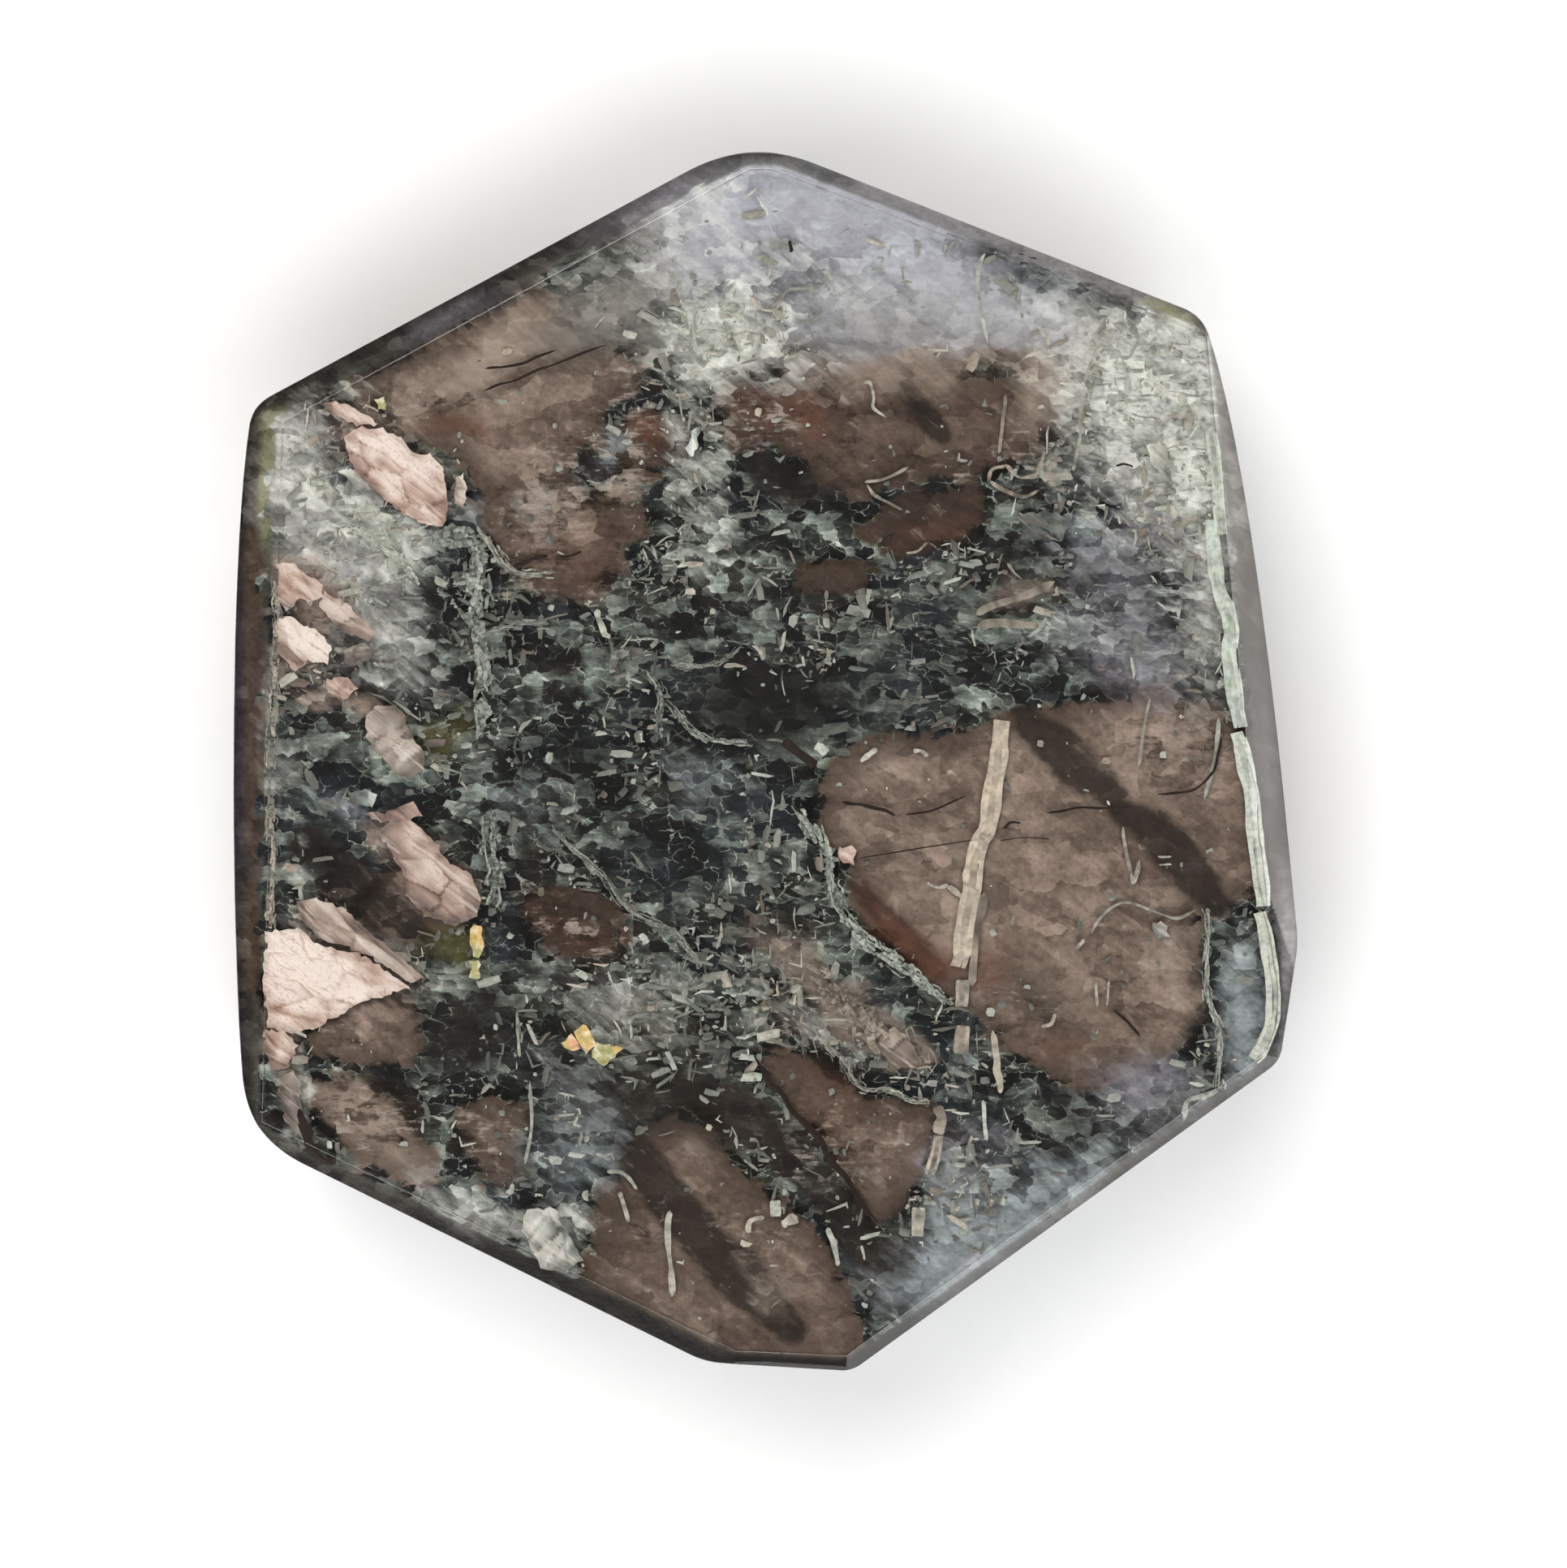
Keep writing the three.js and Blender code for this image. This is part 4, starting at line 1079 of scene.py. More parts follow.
# Veins: healed cracks filled with pale mineral. Each is (half width, shade, warmth, line)
veins = {
    "creamLong": (0.099, 0.75, 0.85, [
        (2.39, 0.41), (2.34, 0.04), (2.29, -0.3), (2.24, -0.66), (2.17, -0.8), (2.11, -1.0),
        (2.08, -1.24), (2.02, -1.59), (1.98, -1.89), (1.94, -2.07)]),
    "arcLong": (0.015, 0.5, 0.4, [
        (3.28, -1.73), (3.4, -1.55), (3.61, -1.42), (3.89, -1.5), (4.14, -1.58), (4.34, -1.49)]),
    "boxLeft": (0.016, 0.45, 0.6, [(3.33, -2.22), (3.34, -2.48)]),
    "boxRight": (0.012, 0.45, 0.6, [(3.46, -2.2), (3.44, -2.47)]),
    "smallBox1": (0.012, 0.8, 0.3, [(3.95, -0.96), (4.09, -0.96)]),
    "smallBox2": (0.012, 0.7, 0.3, [(3.96, -1.04), (4.09, -1.04)]),
    "tickPair1": (0.018, 0.6, 0.6, [(1.63, -1.22), (1.74, -1.27), (1.84, -1.24)]),
    "tickPair2": (0.027, 0.85, 0.6, [(1.84, -1.26), (1.9, -1.31), (1.98, -1.37)]),
    "edgeArc": (0.021, 0.6, 0.15, [(4.56, 0.44), (4.55, 0.19), (4.5, -0.1), (4.42, -0.38)]),
    "lowTick1": (0.018, 0.6, 0.7, [(2.78, -2.67), (2.88, -2.64), (2.92, -2.54)]),
    "lowTick2": (0.018, 0.6, 0.6, [(3.13, -1.89), (3.21, -1.79)]),
    "creamShade": (0.043, 0.35, 0.8, [(2.2, -1.32), (2.12, -1.81), (2.08, -2.26)]),
    "creamFoot1": (0.072, 0.5, 0.6, [(1.98, -2.2), (1.97, -2.47)]),
    "creamFoot2": (0.08, 0.5, 0.8, [(1.99, -2.66), (1.97, -2.94)]),
    "creamFoot3": (0.055, 0.55, 0.75, [(1.75, -3.46), (1.77, -3.61), (1.75, -3.76)]),
    "creamFoot4": (0.056, 0.55, 0.7, [(1.74, -3.77), (1.71, -3.98), (1.65, -4.16)]),
    "creamFoot5": (0.069, 0.6, 0.5, [(1.54, -4.49), (1.53, -4.78)]),
    "creamSide": (0.036, 0.8, 0.7, [(2.29, -2.71), (2.33, -2.96), (2.34, -3.16), (2.37, -3.34)]),
    "mintSide": (0.021, 0.9, 0.1, [(2.19, -3.41), (2.21, -3.61), (2.23, -3.82)]),
    "leftVein": (0.076, 0.42, 0.05, [
        (-3.33, 2.23), (-3.21, 2.26), (-2.98, 2.25), (-2.9, 2.16), (-2.92, 1.98), (-2.9, 1.67),
        (-2.88, 1.24), (-2.86, 0.8), (-2.85, 0.33)]),
    "leftVeinLow": (0.064, 0.4, 0.05, [(-2.79, -0.51), (-2.75, -0.83), (-2.7, -1.16), (-2.72, -1.44)]),
    "sectorBorder": (0.028, 0.5, 0.35, [
        (-2.9, 2.37), (-2.75, 2.17), (-2.62, 1.98), (-2.47, 1.89), (-2.15, 1.88)]),
    "branch": (0.022, 0.45, 0.1, [(-2.87, 1.27), (-2.68, 1.32), (-2.49, 1.38), (-2.19, 1.39)]),
    "webNorth": (0.029, 0.4, 0.05, [
        (-1.28, 0.93), (-1.17, 0.87), (-1.07, 0.76), (-1.04, 0.59), (-1.09, 0.33)]),
    "webEast": (0.027, 0.5, 0.05, [
        (-1.02, 0.62), (-0.87, 0.47), (-0.72, 0.29), (-0.48, 0.2), (-0.16, 0.18)]),
    "webTop": (0.018, 0.5, 0.2, [
        (-0.96, 0.99), (-0.74, 0.96), (-0.51, 0.98), (-0.35, 1.06), (-0.27, 1.13)]),
    "longBorder": (0.021, 0.5, 0.15, [
        (-2.15, -0.66), (-2.0, -0.82), (-1.85, -0.96), (-1.61, -1.17), (-1.46, -1.4), (-1.25, -1.56),
        (-0.98, -1.67), (-0.82, -1.83), (-0.64, -2.06)]),
    "rightBorder": (0.048, 0.55, 0.05, [
        (0.34, -0.51), (0.47, -0.66), (0.6, -0.91), (0.68, -1.26), (0.76, -1.49), (0.95, -1.73),
        (1.18, -1.93), (1.41, -2.07), (1.64, -2.27), (1.84, -2.43)]),
    "footRightBorder": (0.026, 0.55, 0.3, [
        (0.45, -2.65), (0.61, -2.84), (0.81, -3.04), (0.89, -3.22), (1.04, -3.31), (1.27, -3.31),
        (1.43, -3.4), (1.64, -3.43)]),
    "lowerLine": (0.015, 0.5, 0.2, [(-2.5, -2.52), (-2.49, -2.75), (-2.47, -2.98)]),
    "lowerLine2": (0.016, 0.5, 0.3, [(-2.37, -3.21), (-2.35, -3.62), (-2.38, -3.85), (-2.42, -4.06)]),
    "footWeb": (0.02, 0.55, 0.3, [(-1.59, -4.13), (-1.48, -4.13), (-1.38, -4.18), (-1.29, -4.31)]),
    "footTick1": (0.023, 0.6, 0.5, [(-1.46, -4.33), (-1.43, -4.44), (-1.37, -4.64)]),
    "footTick2": (0.029, 0.75, 0.4, [
        (-0.96, -4.52), (-0.98, -4.63), (-0.98, -4.9), (-0.94, -5.16), (-0.94, -5.39)]),
    "footTick3": (0.025, 0.85, 0.3, [(0.63, -4.69), (0.69, -4.87), (0.73, -5.08)]),
    "footTick4": (0.016, 0.7, 0.3, [(0.97, -4.87), (1.0, -5.02)]),
    "arch1": (0.029, 0.75, 0.7, [(-0.17, -4.75), (-0.14, -4.62), (-0.01, -4.59)]),
    "chip1": (0.056, 0.7, 0.2, [(0.1, -4.42), (0.11, -4.58)]),
    "chip2": (0.051, 0.7, 0.6, [(0.17, -4.68), (0.32, -4.58)]),
    "creamTick": (0.029, 0.85, 0.3, [(0.96, 0.0), (1.04, 0.06), (1.12, 0.13)]),
    "creamTick3": (0.023, 0.75, 0.5, [(1.49, 0.1), (1.56, 0.11), (1.64, 0.05)]),
    "rimLine1": (0.059, 0.8, 0.05, [
        (4.47, 3.36), (4.51, 3.09), (4.54, 2.81), (4.56, 2.51), (4.59, 2.28)]),
    "rimLine2": (0.079, 0.9, 0.0, [
        (4.49, 2.43), (4.52, 2.04), (4.56, 1.76), (4.64, 1.53), (4.69, 1.32), (4.66, 1.13), (4.71, 0.76),
        (4.78, 0.34)]),
    "rimLine3": (0.08, 0.95, 0.05, [
        (4.74, 0.29), (4.81, 0.02), (4.88, -0.28), (4.91, -0.59), (4.94, -0.84), (4.98, -1.16),
        (5.01, -1.46)]),
    "rimLine4": (0.071, 1.0, 0.15, [
        (4.97, -1.52), (5.04, -1.81), (5.09, -2.14), (5.11, -2.42), (5.09, -2.64), (5.0, -2.87),
        (4.91, -3.0)]),
    "mintLine": (0.026, 0.7, 0.1, [
        (4.42, -1.48), (4.46, -1.74), (4.44, -2.11), (4.47, -2.41), (4.57, -2.7), (4.57, -3.04),
        (4.56, -3.28)]),
    "mintLine2": (0.021, 0.65, 0.1, [(4.55, -3.3), (4.38, -3.38), (4.25, -3.42), (4.2, -3.61)]),
    "innerLine": (0.019, 0.55, 0.6, [(3.87, 0.63), (3.8, 0.28), (3.76, -0.05)]),
    "innerLoop": (0.022, 0.5, 0.6, [
        (3.6, -0.66), (3.62, -0.87), (3.68, -1.12), (3.71, -1.22), (3.77, -0.98)]),
    "highLine1": (0.019, 0.6, 0.3, [(3.4, 4.35), (3.32, 4.11), (3.21, 3.81)]),
    "highLine2": (0.022, 0.55, 0.4, [(3.18, 3.58), (3.16, 3.21), (3.1, 2.92)]),
    "highLine3": (0.018, 0.4, 0.8, [(2.42, 3.69), (2.39, 3.41), (2.35, 3.09)]),
    "hook": (0.018, 0.7, 0.5, [(0.99, 3.81), (1.06, 3.8), (1.09, 3.66), (1.09, 3.55), (1.22, 3.46)]),
    "cloudLine": (0.02, 0.7, 0.2, [(2.21, 5.11), (2.16, 5.0), (2.14, 4.83), (2.17, 4.56), (2.24, 4.2)]),
    "latticeA": (0.019, 0.5, 0.75, [(2.25, 2.82), (2.28, 2.94), (2.45, 2.98)]),
    "latticeB": (0.02, 0.55, 0.75, [(2.43, 2.98), (2.56, 2.86), (2.73, 2.88)]),
    "latticeC": (0.019, 0.45, 0.8, [(2.26, 2.82), (2.42, 2.72), (2.6, 2.66), (2.76, 2.73)]),
    "latticeD": (0.02, 0.5, 0.75, [(2.72, 2.86), (2.78, 3.0), (2.82, 3.14)]),
    "lobeArc": (0.015, 0.5, 0.7, [(1.42, 2.1), (1.53, 2.11), (1.63, 2.2)]),
    "lobeLine": (0.016, 0.5, 0.5, [(1.02, 2.79), (1.1, 2.68), (1.22, 2.61), (1.38, 2.53)]),
    "lobeLine2": (0.016, 0.45, 0.5, [(1.0, 2.81), (1.2, 2.84), (1.44, 2.96)]),
    "dashRow1": (0.039, 0.4, 0.7, [(2.12, 1.48), (2.33, 1.58), (2.6, 1.67), (2.91, 1.81)]),
    "dashRow2": (0.042, 0.4, 0.7, [(2.14, 1.36), (2.42, 1.4), (2.75, 1.36)]),
    "curl": (0.029, 0.6, 0.3, [(-1.69, 1.53), (-1.67, 1.42), (-1.62, 1.29), (-1.56, 1.24)]),
    "leftRimLine": (0.029, 0.6, 0.5, [(-4.9, 1.94), (-4.91, 1.45), (-4.94, 0.72), (-4.97, -0.06)]),
    "leftRimLine2": (0.029, 0.6, 0.6, [(-4.98, -0.26), (-4.96, -0.83), (-4.96, -1.32), (-4.98, -1.65)]),
    "whiteStreak": (0.038, 0.85, 0.2, [
        (-4.24, 2.35), (-4.06, 2.29), (-3.87, 2.16), (-3.68, 2.01), (-3.53, 1.8)]),
    "stripe": (0.096, 0.32, 0.8, [(0.47, -2.14), (0.71, -2.34), (0.96, -2.55), (1.2, -2.83)]),
    # painted highlights: two tiny bright glassy spots in the matrix, drawn as short pale ribbons at full
    # shade
    "paintedHighlightCentre": (0.042, 1.0, 0.1, [(0.51, 0.17), (0.56, 0.13), (0.61, 0.07)]),
    "paintedHighlightMiddle": (0.035, 1.0, 0.1, [(-1.26, -1.74), (-1.22, -1.79), (-1.2, -1.84)]),
}

# veins that lie broken into short bits
brokenVeins = ("leftVein", "leftVeinLow", "longBorder", "rightBorder", "footRightBorder", "whiteStreak",
               "mintLine", "sectorBorder", "leftRimLine", "leftRimLine2", "stripe",
               "webNorth", "webEast", "webTop", "branch")
veinBits = {
    "step": 0.02, "shortest": 0.05, "length": (0.07, 0.26),  # mm
    "width": (0.12, 0.42), "scatter": 0.7, "crook": 0.25,  # shares of the vein's half width
    "deeper": (0, 0.05), "brighter": (-0.3, 0.2),
}
veinDepth = 0.055  # mm under the polished skin
wideFrom = 0.055  # half width in mm from which a vein is a bundle of three strands
wideStrands = ((-0.62, 0.36, 0.12), (0.0, 0.5, -0.12), (0.64, 0.34, 0.08))  # side, share, brighter


# a healed vein: short glassy bits strewn along the line, with gaps, instead of one band
def brokenVein(heap, line, halfWidth, shade, warmth, draws):
    line = roundOff(line, 4, False)
    reach = np.append(0, np.cumsum(np.hypot(*np.diff(line, axis=0).T)))
    for start in np.arange(0, reach[-1], veinBits["step"]):
        span = draws.uniform(*veinBits["length"])
        stations = np.clip(start + np.array([0, 0.35, 0.7, 1]) * span, 0, reach[-1])
        middle = np.column_stack([np.interp(stations, reach, line[:, axis]) for axis in (0, 1)])
        middle += draws.normal(0, veinBits["scatter"] * halfWidth, 2)
        middle += draws.normal(0, veinBits["crook"] * halfWidth, middle.shape)
        thin = halfWidth * draws.uniform(*veinBits["width"])
        if reach[-1] - start > veinBits["shortest"]:
            addRibbon(heap, middle, thin, veinDepth + draws.uniform(*veinBits["deeper"]),
                      shade + draws.uniform(*veinBits["brighter"]), warmth, int(draws.integers(9999)))


def buildVeins(material):
    heap = newHeap()
    draws = np.random.default_rng(31)
    for seed, (name, (halfWidth, shade, warmth, line)) in enumerate(veins.items()):
        if name in brokenVeins:
            brokenVein(heap, line, halfWidth, shade, warmth, draws)
            continue
        strands = wideStrands if halfWidth > wideFrom else ((0.0, 1.0, 0.0),)
        for k, (side, share, lift) in enumerate(strands):
            addRibbon(heap, line, halfWidth, veinDepth, shade + lift, warmth, seed * 5 + k, side, share)
    return heapPiece("paleVeins", heap, material)


buildVeins(pearl)


# Fracture plates: open flat cracks that throw back a warm pink light. Each is (outline, depth under
# the polished skin in mm, shade, warmth) and the turn of its facets if they don't lie as most do
plates = {
    "upper": ([
        (-4.24, 3.28), (-4.06, 3.36), (-3.86, 3.36), (-3.71, 3.27), (-3.62, 3.2), (-3.53, 3.09),
        (-3.37, 3.09), (-3.25, 2.96), (-3.2, 2.76), (-3.19, 2.55), (-3.25, 2.35), (-3.44, 2.37),
        (-3.68, 2.51), (-3.93, 2.73), (-4.14, 2.94), (-4.22, 3.12)], 0.06, 0.82, 1),
    "upperTip": ([
        (-4.45, 3.58), (-4.33, 3.63), (-4.11, 3.55), (-3.89, 3.38), (-4.11, 3.38),
        (-4.33, 3.48)], 0.05, 0.66, 1),
    "upperSliver": ([
        (-3.11, 2.87), (-3.04, 2.9), (-3.0, 2.76), (-3.04, 2.55), (-3.12, 2.58)], 0.05, 0.7, 0.7),
    "leftHigh": ([
        (-4.91, 1.99), (-4.74, 2.01), (-4.66, 1.89), (-4.48, 1.81), (-4.43, 1.65), (-4.56, 1.6),
        (-4.69, 1.63), (-4.82, 1.52), (-4.91, 1.62)], 0.06, 0.75, 1),
    "leftMiddle": ([
        (-4.91, 1.44), (-4.79, 1.47), (-4.66, 1.36), (-4.5, 1.31), (-4.37, 1.16), (-4.4, 0.98),
        (-4.6, 1.01), (-4.74, 0.91), (-4.9, 1.08)], 0.06, 0.8, 0.9),
    "leftOuter": ([
        (-4.45, 1.71), (-4.27, 1.63), (-4.12, 1.49), (-3.93, 1.31), (-3.98, 1.21), (-4.17, 1.27),
        (-4.35, 1.39), (-4.48, 1.55)], 0.08, 0.55, 0.8, -44),
    "leftShelf": ([
        (-4.22, 1.13), (-4.04, 1.21), (-3.93, 1.08), (-4.11, 0.95), (-4.27, 0.98)], 0.09, 0.3, 0.5, 10),
    "leftFleck": ([
        (-4.42, 0.82), (-4.19, 0.85), (-4.11, 0.72), (-4.24, 0.62), (-4.4, 0.67)], 0.07, 0.45, 1),
    "cream": ([
        (-4.01, 0.44), (-3.93, 0.56), (-3.73, 0.57), (-3.63, 0.47), (-3.57, 0.29), (-3.45, 0.11),
        (-3.44, -0.08), (-3.57, -0.18), (-3.73, -0.1), (-3.89, 0.07),
        (-4.02, 0.24)], 0.06, 0.55, 0.55, 40),
    "middleHigh": ([
        (-4.04, -0.53), (-3.78, -0.51), (-3.56, -0.42), (-3.46, -0.54), (-3.62, -0.61),
        (-3.86, -0.61)], 0.07, 0.35, 1),
    "middle": ([
        (-3.93, -0.69), (-3.75, -0.6), (-3.56, -0.6), (-3.42, -0.72), (-3.29, -0.84), (-3.21, -1.0),
        (-3.0, -1.11), (-2.87, -1.34), (-2.89, -1.56), (-3.14, -1.65), (-3.42, -1.55), (-3.62, -1.34),
        (-3.64, -1.14), (-3.8, -0.87)], 0.07, 0.5, 0.85),
    "lower": ([
        (-5.01, -1.71), (-4.69, -1.68), (-4.54, -1.83), (-4.31, -1.89), (-4.1, -1.93), (-3.93, -2.02),
        (-3.56, -2.28), (-3.78, -2.34), (-4.04, -2.42), (-4.24, -2.52), (-4.54, -2.69), (-4.77, -2.73),
        (-5.0, -2.68), (-5.04, -2.22)], 0.05, 0.95, 1, -10),
    "lowerRidge": ([
        (-4.71, -1.42), (-4.57, -1.37), (-4.39, -1.42), (-4.23, -1.5), (-3.89, -1.8), (-3.44, -2.17),
        (-3.53, -2.24), (-3.74, -2.12), (-3.95, -1.98), (-4.23, -1.86), (-4.45, -1.8),
        (-4.64, -1.63)], 0.08, 0.5, 0.75),
    "heelHigh": ([
        (-5.04, -2.71), (-4.83, -2.71), (-4.71, -2.86), (-4.76, -2.99), (-4.82, -3.1), (-4.97, -3.09),
        (-5.04, -2.89)], 0.06, 0.62, 1),
    "heelLow": ([
        (-4.88, -3.17), (-4.76, -3.12), (-4.66, -3.25), (-4.69, -3.38), (-4.64, -3.53), (-4.6, -3.76),
        (-4.74, -3.77), (-4.84, -3.58), (-4.9, -3.36)], 0.06, 0.45, 0.5),
    "pinkDot": ([
        (0.74, -0.87), (0.86, -0.84), (0.91, -0.91), (0.9, -1.04), (0.79, -1.04),
        (0.73, -0.98)], 0.04, 0.75, 1),
    "lump": ([
        (1.15, -2.71), (1.31, -2.68), (1.46, -2.82), (1.56, -2.99), (1.58, -3.13), (1.41, -3.07),
        (1.28, -3.1), (1.17, -2.94)], 0.08, 0.2, 0.6),
    "whiteCluster": ([
        (-2.41, -4.5), (-2.11, -4.5), (-1.98, -4.76), (-1.83, -5.03), (-2.03, -5.13), (-2.24, -5.08),
        (-2.35, -4.91), (-2.44, -4.73)], 0.05, 0.62, 0.15, 60),
    "slateBlock": ([
        (2.56, 2.5), (2.91, 2.51), (3.06, 2.43), (3.0, 2.22), (2.59, 2.24)], 0.09, 0.14, 0.0, 0),
    "slateFleck": ([
        (-4.2, -0.31), (-4.02, -0.29), (-3.91, -0.34), (-3.94, -0.45), (-4.16, -0.46)], 0.06, 0.42, 0.0),
    "highFleck": ([
        (3.84, 3.18), (3.99, 3.22), (4.06, 3.09), (4.09, 2.78), (3.98, 2.89),
        (3.88, 3.0)], 0.05, 0.75, 0.1, 80),
    "mintBlock": ([(3.89, -1.62), (4.02, -1.62), (4.06, -1.76), (3.93, -1.78)], 0.05, 0.35, 0.1),
    "columnFleck": ([
        (-0.74, 3.33), (-0.66, 3.35), (-0.68, 3.15), (-0.74, 3.05), (-0.79, 3.15)], 0.05, 0.85, 0.0, 90),
}


def buildPlates(material):
    heap = newHeap()
    for seed, plate in enumerate(plates.values()):
        addPlate(heap, *plate, seed=seed)
    return heapPiece("fracturePlates", heap, material)


# Air-filled fracture: smooth with faint warm bands, the eye sees crumpled pink foil; its bright bands are
# a painted highlight and its dark creases painted shade
def pinkFracture():
    material = newMaterial("pinkFracture")
    add = partial(addNode, material)
    shade, warmth = (add("ShaderNodeAttribute", attribute_name=field).outputs["Fac"]
                     for field in ("shade", "warmth"))
    tints = []
    # cool and warm tints, each from dull to bright
    for stops in (((0.0, "#3f4743"), (0.4, "#7f8a83"), (1.0, "#eef3ea")),
                  ((0.0, "#5e4a41"), (0.3, "#8d7265"), (0.6, "#c0a595"), (1.0, "#f2e2d7"))):
        ramp = add("ShaderNodeValToRGB", {"Fac": shade})
        elements = ramp.color_ramp.elements
        elements[0].color = hexToLinear(stops[0][1])
        elements[1].color = hexToLinear(stops[-1][1])
        for at, colour in stops[1:-1]:
            elements.new(at).color = hexToLinear(colour)
        tints.append(ramp.outputs["Color"])
    both = add("ShaderNodeMix", {0: warmth, 6: tints[0], 7: tints[1]}, data_type="RGBA").outputs[2]
    place = add("ShaderNodeTexCoord").outputs["Object"]
    # creases 0.1 mm apart, 0.7 mm long, with painted shade in them and a painted highlight beside them
    turned = add("ShaderNodeMapping", {
        "Vector": place, "Rotation": (0, 0, math.radians(plateSetup["turn"])),
        "Scale": (0.7 * mm, 0.1 * mm, 0.4 * mm)}, vector_type="TEXTURE").outputs["Vector"]
    noise = add("ShaderNodeTexNoise", {
        "Vector": turned, "Scale": 1.0, "Detail": 4.0, "Distortion": 0.8}).outputs["Fac"]
    away = add("ShaderNodeMath", {0: noise, 1: 0.5}, operation="SUBTRACT").outputs[0]
    creaseShade = add("ShaderNodeMath", {0: away}, operation="ABSOLUTE").outputs[0]
    # speckle 0.03 mm across
    speckle = add("ShaderNodeTexNoise", {
        "Vector": place, "Scale": 33 / mm, "Detail": 2.0}).outputs["Fac"]
    # a painted highlight beside each crease, the film's own speckle, and painted shade in the creases
    mixed = layColours(material, both, (
        (noise, 0.52, 0.68, 0.45, "#efe2d6"), (speckle, 0.5, 0.75, 0.3, "#8a7062"),
        (creaseShade, 0.014, 0.0, 0.55, "#7a5a4e")))
    shader = add("ShaderNodeBsdfPrincipled", {
        "Base Color": mixed, "Roughness": 0.35, "Specular IOR Level": 0.4})
    add("ShaderNodeOutputMaterial", {"Surface": shader.outputs["BSDF"]})
    return material


buildPlates(pinkFracture())


# Golden glints: small films. Each is (outline, colour from green-yellow at 0 to orange at 1)
glintDepth = 0.06  # mm under the polished skin
glints = {
    "sliver": ([(-2.96, -1.67), (-2.87, -1.66), (-2.83, -1.86), (-2.88, -1.98), (-2.96, -1.96)], 0.8),
    "sliverFoot": ([(-2.98, -2.02), (-2.88, -2.02), (-2.87, -2.19), (-2.96, -2.19)], 0.1),
    "left": ([(-2.06, -2.84), (-1.95, -2.75), (-1.89, -2.82), (-1.85, -2.89), (-1.95, -2.92)], 0.95),
    "middle": ([
        (-1.93, -2.74), (-1.83, -2.64), (-1.74, -2.74), (-1.69, -2.86), (-1.8, -2.94),
        (-1.88, -2.84)], 0.75),
    "right": ([
        (-1.71, -2.82), (-1.58, -2.85), (-1.44, -2.87), (-1.52, -2.99), (-1.64, -3.05),
        (-1.76, -2.96)], 0.25),
    "spot": ([(-3.92, 3.64), (-3.85, 3.67), (-3.8, 3.61), (-3.83, 3.53), (-3.9, 3.54)], 0.15),
}


# Thin-film gold: smooth and lightly glossy, so it flashes orange or green-yellow to the eye
def goldFilm():
    material = newMaterial("goldFilm")
    add = partial(addNode, material)
    shade = add("ShaderNodeAttribute", attribute_name="shade").outputs["Fac"]
    place = add("ShaderNodeTexCoord").outputs["Object"]
    # bands 0.08 mm apart
    bands = add("ShaderNodeTexNoise", {"Vector": place, "Scale": 12 / mm, "Detail": 2.0}).outputs["Fac"]
    colour = layColours(material, "#aeab72", (
        (shade, 0.2, 0.6, 1.0, "#e0b86a"), (shade, 0.6, 1.0, 1.0, "#eab28a"),
        (bands, 0.5, 0.7, 0.7, "#f1ead0"), (bands, 0.45, 0.3, 0.6, "#8b7f4e")))
    shader = add("ShaderNodeBsdfPrincipled", {
        "Base Color": colour, "Roughness": 0.35, "Specular IOR Level": 0.5})
    add("ShaderNodeOutputMaterial", {"Surface": shader.outputs["BSDF"]})
    return material


def buildGlints(material):
    heap = newHeap()
    for seed, (outline, shade) in enumerate(glints.values()):
        addPlate(heap, outline, glintDepth, shade, 0.5, seed=seed + 60)
    return heapPiece("goldGlints", heap, material)


buildGlints(goldFilm())


# Flecks: thousands of splinters and bent films, most along the two directions of the crystal
fleckSetup = {
    "hooks": {"tries": 14000, "seed": 5, "length": (0.07, 0.4), "width": (0.006, 0.025)},  # mm
    "shards": {"tries": 14000, "seed": 6, "length": (0.014, 0.13), "width": (0.01, 0.06)},
    "alongX": 0.55, "alongY": 0.25, "spread": 14,  # shares that lie along x and y, and their scatter
    "edgeGap": 0.07, "roof": 0.035,  # mm kept clear at the table's edge and under the skin
    "pale": 0.45, "ash": 0.15, "shattered": 0.12, "anywhere": 0.015,  # how thick they lie there
    "mostlySmall": 2.8, "mostlyLow": 1.8,  # powers that draws are raised to
    "creamShare": 0.14,
}


